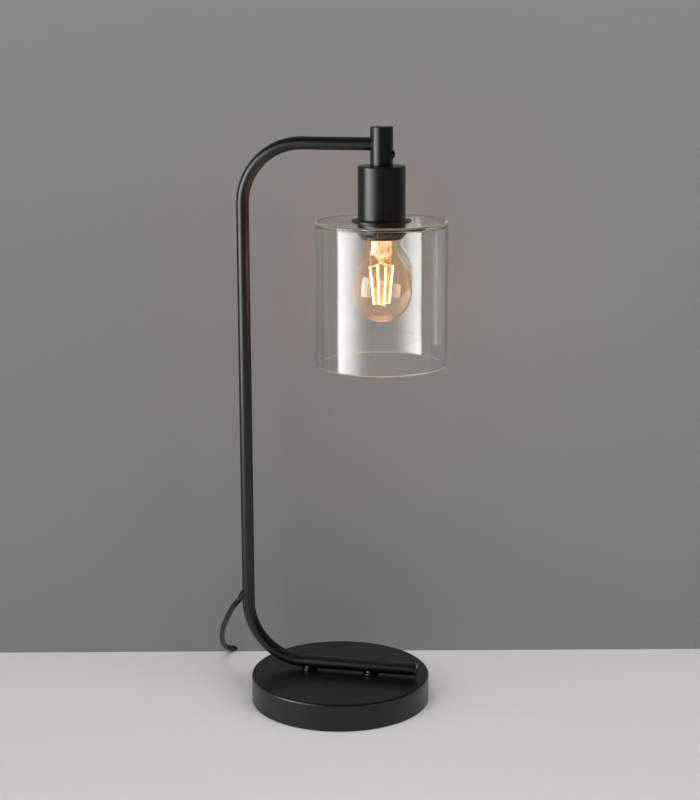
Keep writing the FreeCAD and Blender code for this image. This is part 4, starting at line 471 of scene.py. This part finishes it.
class LAMP_OT_bulb(Operator):
    """Dresses the lit bulb and gives its cap a rolled thread"""

    bl_idname = "lamp.bulb"
    bl_label = "Bulb"

    def execute(self, context):
        sizes = finishes()
        self.dress_glass(sizes)
        self.dress_filaments(sizes)
        black = Finish("black_glass", (0.01, 0.01, 0.014), 0.1)
        black.mottle(0.2, 300)
        dress(black, "bulb_insulator")
        dress(metal("solder", (0.5, 0.5, 0.5), 0.4), "bulb_contact")
        cap = metal("cap_metal", (0.6, 0.6, 0.6), 0.25)
        self.make_cap(cap)
        self.make_light(sizes)
        return {"FINISHED"}

    def make_light(self, sizes):
        """The light that the filaments give to what is round them."""
        low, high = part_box("bulb_filaments")
        data = bpy.data.lights.new("bulb_light", "POINT")
        data.energy = sizes.bulb_light
        data.color = sizes.bulb_hue
        data.shadow_soft_size = 0.012
        lamp = bpy.data.objects.new("bulb_light", data)
        bpy.context.scene.collection.objects.link(lamp)
        lamp.location = (low + high) / 2
        lamp.visible_camera = False
        lamp.visible_transmission = False

    def dress_glass(self, sizes):
        """The globe and the mount, with painted glow: warm emission on the globe's bottom and on
        patches of the mount, standing in for the lit filaments' light caught in the glass.
        """
        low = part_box("bulb_glass")[0]
        globe = clear_glass("bulb_glass", sizes.bulb, 0.0001)
        parts = globe.node("SeparateXYZ")
        globe.link(globe.space, parts.inputs["Vector"])
        # Painted glow: emission strongest at the globe's bottom, fading upward
        glow = globe.ramp(parts.outputs["Z"], 0.34, 0.045, low.z, low.z + 0.0045)
        globe.set(Emission_Color=(1, 0.5, 0.24, 1))
        globe.link(glow, globe.shader.inputs["Emission Strength"])
        dress(globe, "bulb_glass")
        mount = clear_glass("mount_glass", (0.97, 0.93, 0.86), 0.0001)
        # Painted sparkle: patches of warm emission on the mount glass, standing in for glints of the
        # filaments' light
        painted_sparkle = mount.ramp(mount.noise(520, 3.0, (1, 1, 0.25)), 0.03, 0.75, 0.46, 0.7)
        mount.set(Emission_Color=(1, 0.72, 0.42, 1))
        mount.link(painted_sparkle, mount.shader.inputs["Emission Strength"])
        dress(mount, "bulb_mount")
        wire = metal("lead_wire", (0.6, 0.57, 0.52), 0.25)
        # Painted glow: the lead wires get a faint warm emission, standing in for the filaments' light
        # on them
        wire.set(Emission_Color=(1, 0.5, 0.18, 1), Emission_Strength=0.5)
        dress(wire, "bulb_leads")

    def dress_filaments(self, sizes):
        """Glowing filaments, a little uneven along their length."""
        glow = Finish("lit_filament", sizes.filament, 0.5)
        pale = [min(part * 1.25 + 0.1, 1) for part in sizes.filament]
        glow.blend(glow.waves(260, "Z"), sizes.filament, pale, 0.2, 0.8)
        source = glow.shader.inputs["Base Color"].links[0].from_socket
        glow.link(source, glow.shader.inputs["Emission Color"])
        glow.set(Emission_Strength=sizes.filament_strength)
        dress(glow, "bulb_filaments")

    def make_cap(self, finish):
        """The bulb's cap with its rolled screw thread."""
        pitch = 0.00362
        depth = 0.00055
        sides = 48
        levels = 60
        tall = CAP_HIGH.z - CAP_LOW.z
        cone = 0.003
        cone_inset = 0.0059
        plain_rim = 0.0015
        run_out = 0.001
        rows = []
        for level in range(levels + 1):
            height = tall * level / levels
            inset = max(0, height - (tall - cone)) / cone * cone_inset
            rows.append((height, CAP_RADIUS - inset))
        vertices = []
        for height, radius in rows:
            from_rim = max(0, height - plain_rim)
            from_cone = max(0, tall - cone - height)
            cut = min(1, from_rim / run_out, from_cone / run_out)
            for side in range(sides):
                angle = 2 * math.pi * side / sides
                phase = 2 * math.pi * height / pitch - angle
                out = radius - depth * cut * (0.5 - 0.5 * math.cos(phase))
                vertices.append((HEAD.x + out * math.cos(angle), HEAD.y + out * math.sin(angle),
                                 CAP_LOW.z + height))
        faces = []
        for level in range(levels):
            for side in range(sides):
                after = (side + 1) % sides
                first = level * sides
                faces.append((first + side, first + after, first + sides + after,
                              first + sides + side))
        cap = new_piece("bulb_cap_threaded", vertices, faces, finish, "bulb")
        thick = cap.modifiers.new("Wall", "SOLIDIFY")
        thick.thickness = 0.00035
        thick.offset = -1
        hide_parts("bulb_cap")


# Free cord

# The cord's route from the stem to the switch, in metres, as in the part's source
CORD_ROUTE = [
    (-0.100794, 0.0, 0.102156), (-0.107865, 0.0, 0.095085), (-0.1149, 0.0061, 0.0865),
    (-0.1217, 0.0166, 0.0758), (-0.1295, 0.0291, 0.0630), (-0.1371, 0.0423, 0.0488),
    (-0.1428, 0.0557, 0.0350), (-0.1462, 0.0688, 0.0234), (-0.1480, 0.0810, 0.0146),
    (-0.1479, 0.0920, 0.0084), (-0.1453, 0.1014, 0.0041), (-0.1399, 0.1096, 0.0027),
    (-0.1318, 0.1169, 0.0035), (-0.1212, 0.1235, 0.0055), (-0.1086, 0.1294, 0.0077),
]
SWITCH_PLACE = Vector((-0.0558, 0.1429, 0.009))
SWITCH_TURN = 12.8
SWITCH_HALF = 0.031
SWITCH_STRAIGHT = 0.009
CORD_TUCK = 0.006
LINK_STRAIGHT = 0.013
COIL_PLACE = Vector((0.035, 0.196, 0))
COIL_START = -100
COIL_LEAVE = 120
COIL_LEAD_IN = 0.014
COIL_LEAD_OUT = 0.012
PLUG_PLACE = Vector((-0.027, 0.2105, 0.00685))
PLUG_TURN = 205
PLUG_STRAIGHT = 0.013
PLUG_REACH = 0.022
PIN_BARE = 0.009


def heading(degrees):
    """The direction on the table at an angle from +X."""
    angle = math.radians(degrees)
    return Vector((math.cos(angle), math.sin(angle), 0))


def coil_sweep(sizes):
    """The coil's whole angle, in radians."""
    return math.radians(COIL_LEAVE - COIL_START + 360 * sizes.coil_loops)


def coil_spot(sizes, angle):
    """A point of the coil: inward in the lower layer, outward in the upper one."""
    layer = sizes.diameter + sizes.coil_gap
    pitch = layer / (2 * math.pi)
    half = coil_sweep(sizes) / 2
    from_middle = angle - half
    soften = math.pi / 4
    spread = math.sqrt(from_middle * from_middle + soften * soften) - soften
    radius = sizes.coil_middle / 2 - pitch * half / 2 + pitch * spread
    climb = min(max(from_middle / math.pi + 0.5, 0), 1)
    climb = climb * climb * (3 - 2 * climb)
    turned = math.radians(COIL_START) + angle
    low = sizes.diameter / 2 + sizes.lift
    return COIL_PLACE + Vector((radius * math.cos(turned), radius * math.sin(turned),
                                low + layer * climb))


def coil_route(sizes):
    """The coil's points, with its straight ends."""
    sweep = coil_sweep(sizes)
    count = round(sweep / (2 * math.pi) * sizes.turn_points)
    points = [coil_spot(sizes, sweep * number / count) for number in range(count + 1)]
    step = 1e-4
    first_way = (coil_spot(sizes, step) - coil_spot(sizes, -step)).normalized()
    last_way = (coil_spot(sizes, sweep + step) - coil_spot(sizes, sweep - step)).normalized()
    first = points[0] - first_way * sizes.diameter
    last = points[-1] + last_way * sizes.diameter
    lead_in = [first - first_way * COIL_LEAD_IN, first]
    lead_out = [last, last + last_way * COIL_LEAD_OUT]
    return lead_in + points + lead_out


def cord_curve(name, points, diameter, finish):
    """A round cord along one smooth spline."""
    curve = bpy.data.curves.new(name, "CURVE")
    curve.dimensions = "3D"
    curve.bevel_depth = diameter / 2
    curve.bevel_resolution = 5
    curve.use_fill_caps = True
    curve.resolution_u = 8
    spline = curve.splines.new("NURBS")
    spline.points.add(len(points) - 1)
    for spot, point in zip(spline.points, points):
        spot.co = (*point, 1)
    spline.order_u = 3
    spline.use_endpoint_u = True
    spline.use_smooth = True
    piece = bpy.data.objects.new(name, curve)
    bpy.context.scene.collection.objects.link(piece)
    curve.materials.append(finish.material)
    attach(piece, "lamp")
    return piece


class LAMP_OT_cord(Operator):
    """Lays the mains cord from the stem to the switch and on to the plug"""

    bl_idname = "lamp.cord"
    bl_label = "Mains cord"

    def execute(self, context):
        sizes = context.scene.lamp_cord
        sheath = moulded("cord_sheath", finishes().sheath, 0.36, 1500, 0.00003)
        sheath.set(Specular_IOR_Level=0.25)
        way = heading(SWITCH_TURN)
        entry = SWITCH_PLACE - way * SWITCH_HALF
        leave = SWITCH_PLACE + way * SWITCH_HALF
        route = [Vector(point) for point in CORD_ROUTE]
        route += [entry - way * SWITCH_STRAIGHT, entry + way * CORD_TUCK]
        mains = cord_curve("mains_lead", route, sizes.diameter, sheath)
        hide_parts("mains_cord")
        plug_way = heading(PLUG_TURN)
        route = [leave - way * CORD_TUCK, leave + way * LINK_STRAIGHT] + coil_route(sizes)
        route += [PLUG_PLACE - plug_way * PLUG_STRAIGHT, PLUG_PLACE + plug_way * PLUG_REACH]
        lead = cord_curve("plug_lead", route, sizes.diameter, sheath)
        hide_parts("cord_link", "cord_coil", "cord_tail")
        tie = Finish("tie_strap", (0.02, 0.02, 0.021), 0.8)
        tie.mottle(0.3, 900)
        tie.bump(tie.waves(700, "Z"), 0.0001, 0.6)
        dress(tie, "cord_tie")
        self.dress_cores()
        return {"FINISHED"}

    def dress_cores(self):
        """Brown and blue insulation on the two cores."""
        cores = Finish("core_insulation", (0.12, 0.04, 0.015), 0.4)
        parts = cores.node("SeparateXYZ")
        cores.link(cores.space, parts.inputs["Vector"])
        cores.blend(parts.outputs["Y"], (0.02, 0.07, 0.3), (0.12, 0.04, 0.015), -0.0005, 0.0005)
        dress(cores, "inner_cores", "switch_cores")


class LAMP_OT_switch(Operator):
    """Dresses the cord switch and the plug"""

    bl_idname = "lamp.switch"
    bl_label = "Switch and plug"

    def execute(self, context):
        sizes = finishes()
        dress(moulded("switch_plastic", sizes.plastic, 0.4, 2600, 0.00004), "switch_base",
              "switch_top")
        dress(moulded("rocker_plastic", sizes.plastic, 0.2), "switch_rocker")
        dress(moulded("plug_plastic", sizes.plastic, 0.45, 2000, 0.00005), "plug_body")
        dress(rubber("relief_rubber", (0.011, 0.011, 0.011), 0.5), "plug_relief")
        self.dress_pins()
        return {"FINISHED"}

    def dress_pins(self):
        """Nickel pins, black where their sleeves are."""
        nickel = (0.66, 0.64, 0.6)
        pins = metal("pin_metal", nickel, 0.22)
        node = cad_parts["plug_pins"]
        way = heading(PLUG_TURN)
        tip = max((node.matrix_world @ vertex.co).dot(way) for vertex in node.data.vertices)
        along = pins.node("VectorMath")
        along.operation = "DOT_PRODUCT"
        along.inputs[1].default_value = way
        pins.link(pins.space, along.inputs[0])
        start = tip - PIN_BARE - 0.0001
        end = tip - PIN_BARE
        pins.blend(along.outputs["Value"], finishes().plastic, nickel, start, end)
        bare = pins.ramp(along.outputs["Value"], 0, 1, start, end)
        pins.link(bare, pins.shader.inputs["Metallic"])
        dress(pins, "plug_pins")


# Stage, lamps and camera

# Camera fitted to the photo: it stands to the right of the lamp's own front
CAMERA_TURN = 12.804
CAMERA_PITCH = 12.447
CAMERA_ROLL = 0.166
CAMERA_HEIGHT = 0.68616
CAMERA_AWAY = 1.69790
CAMERA_SIDE = 0.01066
CAMERA_LENS = 79.37
WALL_BEHIND = 0.1335
WALL_TURN = 0.39

SIDE = heading(CAMERA_TURN)
AHEAD = heading(CAMERA_TURN + 90)


def seen_from_camera(side, ahead, up):
    """A point by its distances to the camera's right, away from it and up."""
    return SIDE * side + AHEAD * ahead + Vector((0, 0, up))


def make_camera():
    """The camera at the photo's viewing angle."""
    data = bpy.data.cameras.new("view")
    data.sensor_width = 36
    data.lens = CAMERA_LENS
    data.clip_start = 0.05
    data.clip_end = 50
    camera = bpy.data.objects.new("view", data)
    bpy.context.scene.collection.objects.link(camera)
    pitch = math.radians(CAMERA_PITCH)
    roll = math.radians(CAMERA_ROLL)
    forward = AHEAD * math.cos(pitch) - Vector((0, 0, math.sin(pitch)))
    upward = SIDE.cross(forward)
    right = SIDE * math.cos(roll) - upward * math.sin(roll)
    upright = SIDE * math.sin(roll) + upward * math.cos(roll)
    turn = Matrix((right, upright, -forward)).transposed().to_4x4()
    place = seen_from_camera(CAMERA_SIDE, -CAMERA_AWAY, CAMERA_HEIGHT)
    camera.matrix_world = Matrix.Translation(place) @ turn
    bpy.context.scene.camera = camera


def softbox(name, centre, aim, wide, tall, radiance, hue=(1, 1, 1)):
    """A rectangular soft light of an even radiance."""
    data = bpy.data.lights.new(name, "AREA")
    data.shape = "RECTANGLE"
    data.size = wide
    data.size_y = tall
    data.energy = radiance * math.pi * wide * tall
    data.color = hue
    lamp = bpy.data.objects.new(name, data)
    bpy.context.scene.collection.objects.link(lamp)
    lamp.location = centre
    lamp.rotation_mode = "QUATERNION"
    lamp.rotation_quaternion = (aim - centre).to_track_quat("-Z", "Y")
    return lamp


def plain(name, base):
    """A plain, matt stage finish."""
    finish = Finish(name, base, 0.9)
    finish.set(Specular_IOR_Level=0.1)
    finish.mottle(0.01, 2)
    finish.bump(finish.noise(40, 3.0), 0.0002, 0.1)
    return finish


def plane(name, corners, material):
    """A flat stage piece."""
    mesh = bpy.data.meshes.new(name)
    mesh.from_pydata(corners, [], [(0, 1, 2, 3)])
    mesh.materials.append(material)
    made = bpy.data.objects.new(name, mesh)
    bpy.context.scene.collection.objects.link(made)
    return made


class LAMP_OT_stage(Operator):
    """Sets the floor, the backdrop, the soft lights and the camera"""

    bl_idname = "lamp.stage"
    bl_label = "Stage"

    def execute(self, context):
        sizes = context.scene.lamp_stage
        context.scene.view_settings.view_transform = "Standard"
        self.make_floor(sizes)
        self.make_wall(sizes)
        self.make_lights(sizes)
        self.make_sky(sizes)
        self.keep_stage_plain()
        make_camera()
        return {"FINISHED"}

    def make_floor(self, sizes):
        """The plain pale floor."""
        floor = plain("floor", sizes.floor)
        reach = 4
        plane("floor", [(-reach, -reach, 0), (reach, -reach, 0), (reach, reach, 0),
                        (-reach, reach, 0)], floor.material)

    def make_wall(self, sizes):
        """The backdrop, solid only from the front."""
        wall = plain("wall", sizes.wall)
        side = wall.node("NewGeometry")
        clear = wall.node("BsdfTransparent")
        mix = wall.node("MixShader")
        wall.link(side.outputs["Backfacing"], mix.inputs[0])
        wall.link(wall.shader.outputs["BSDF"], mix.inputs[1])
        wall.link(clear.outputs["BSDF"], mix.inputs[2])
        wall.link(mix.outputs["Shader"], wall.output.inputs["Surface"])
        reach = 2.2
        tall = 2.6
        lean = math.tan(math.radians(WALL_TURN)) * reach
        left = seen_from_camera(-reach, WALL_BEHIND - lean, 0)
        right = seen_from_camera(reach, WALL_BEHIND + lean, 0)
        rise = Vector((0, 0, tall))
        plane("wall", [left, right, right + rise, left + rise], wall.material)

    def keep_stage_plain(self):
        """Keeps the bulb's warm light, meant for the lamp, off the floor and the backdrop."""
        plain_things = bpy.data.collections.new("plain_things")
        plain_things.objects.link(bpy.data.objects["floor"])
        plain_things.objects.link(bpy.data.objects["wall"])
        bpy.data.objects["bulb_light"].light_linking.receiver_collection = plain_things
        for thing in plain_things.collection_objects:
            thing.light_linking.link_state = "EXCLUDE"

    def make_lights(self, sizes):
        """Even light from the front and above, and a tall softbox for the reflections."""
        aim = Vector((HEAD.x * 0.3, 0, 0.25))
        away = 1.9
        left = aim + heading(CAMERA_TURN + 232) * away + Vector((0, 0, 1.1))
        right = aim + heading(CAMERA_TURN - 40) * away + Vector((0, 0, 1.2))
        above = aim + seen_from_camera(0, -0.5, away)
        for name, place, wide, tall in (("fill_left", left, 1.4, 1.2),
                                        ("fill_right", right, 1.4, 1.2),
                                        ("fill_top", above, 1.8, 1.4)):
            lamp = softbox(name, place, aim, wide, tall, sizes.fill)
            lamp.visible_glossy = False
            lamp.visible_transmission = False
        self.make_key(sizes)

    def make_key(self, sizes):
        """A tall softbox to the camera's left, shown only in reflections, fading to the right."""
        start = 188
        end = 246
        away = 1.5
        low = -0.05
        high = 1.15
        wide = 2 * away * math.tan(math.radians(end - start) / 2)
        aim = Vector((HEAD.x, 0, (low + high) / 2))
        place = aim + heading(CAMERA_TURN + (start + end) / 2) * away
        lamp = softbox("key", place, aim, wide, high - low, sizes.key)
        lamp.visible_diffuse = False
        lamp.visible_camera = False
        lamp.data.use_nodes = True
        tree = lamp.data.node_tree
        across = tree.nodes.new("ShaderNodeNewGeometry")
        split = tree.nodes.new("ShaderNodeSeparateXYZ")
        fade = tree.nodes.new("ShaderNodeMapRange")
        fade.interpolation_type = "SMOOTHSTEP"
        for name, amount in (("From Min", 0.12), ("From Max", 0.95), ("To Min", 1), ("To Max", 0.04)):
            fade.inputs[name].default_value = amount
        tree.links.new(across.outputs["Parametric"], split.inputs["Vector"])
        tree.links.new(split.outputs["X"], fade.inputs["Value"])
        tree.links.new(fade.outputs["Result"], tree.nodes["Emission"].inputs["Strength"])

    def make_sky(self, sizes):
        """Even light from all round, fainter in reflections."""
        world = bpy.data.worlds.new("sky")
        world.use_nodes = True
        nodes = world.node_tree.nodes
        back = nodes["Background"]
        back.inputs["Color"].default_value = (1, 1, 1, 1)
        path = nodes.new("ShaderNodeLightPath")
        amount = nodes.new("ShaderNodeMapRange")
        amount.inputs["To Min"].default_value = sizes.sky
        amount.inputs["To Max"].default_value = sizes.mirrored_sky
        world.node_tree.links.new(path.outputs["Is Glossy Ray"], amount.inputs["Value"])
        world.node_tree.links.new(amount.outputs["Result"], back.inputs["Strength"])
        bpy.context.scene.world = world


class LAMP_PT_panel(Panel):
    """Lists the lamp's pieces"""

    bl_idname = "LAMP_PT_panel"
    bl_label = "Lamp"
    bl_space_type = "VIEW_3D"
    bl_region_type = "UI"
    bl_category = "Lamp"

    def draw(self, context):
        for operator in OPERATORS:
            self.layout.operator(operator.bl_idname)
        for name, group in GROUPS:
            box = self.layout.box()
            for prop in group.__annotations__:
                box.prop(getattr(context.scene, name), prop)


OPERATORS = (LAMP_OT_metalwork, LAMP_OT_fittings, LAMP_OT_holder, LAMP_OT_shade, LAMP_OT_bulb,
             LAMP_OT_cord, LAMP_OT_switch, LAMP_OT_stage)


def register():
    """Registers the classes and their settings."""
    for name, group in GROUPS:
        bpy.utils.register_class(group)
        setattr(bpy.types.Scene, name, PointerProperty(type=group))
    for operator in OPERATORS:
        bpy.utils.register_class(operator)
    bpy.utils.register_class(LAMP_PT_panel)


def unregister():
    """Removes the classes and their settings."""
    bpy.utils.unregister_class(LAMP_PT_panel)
    for operator in reversed(OPERATORS):
        bpy.utils.unregister_class(operator)
    for name, group in reversed(GROUPS):
        delattr(bpy.types.Scene, name)
        bpy.utils.unregister_class(group)


def main():
    """Makes every piece in order."""
    register()
    for operator in OPERATORS:
        group, name = operator.bl_idname.split(".")
        getattr(getattr(bpy.ops, group), name)()


if __name__ == "__main__":
    main()
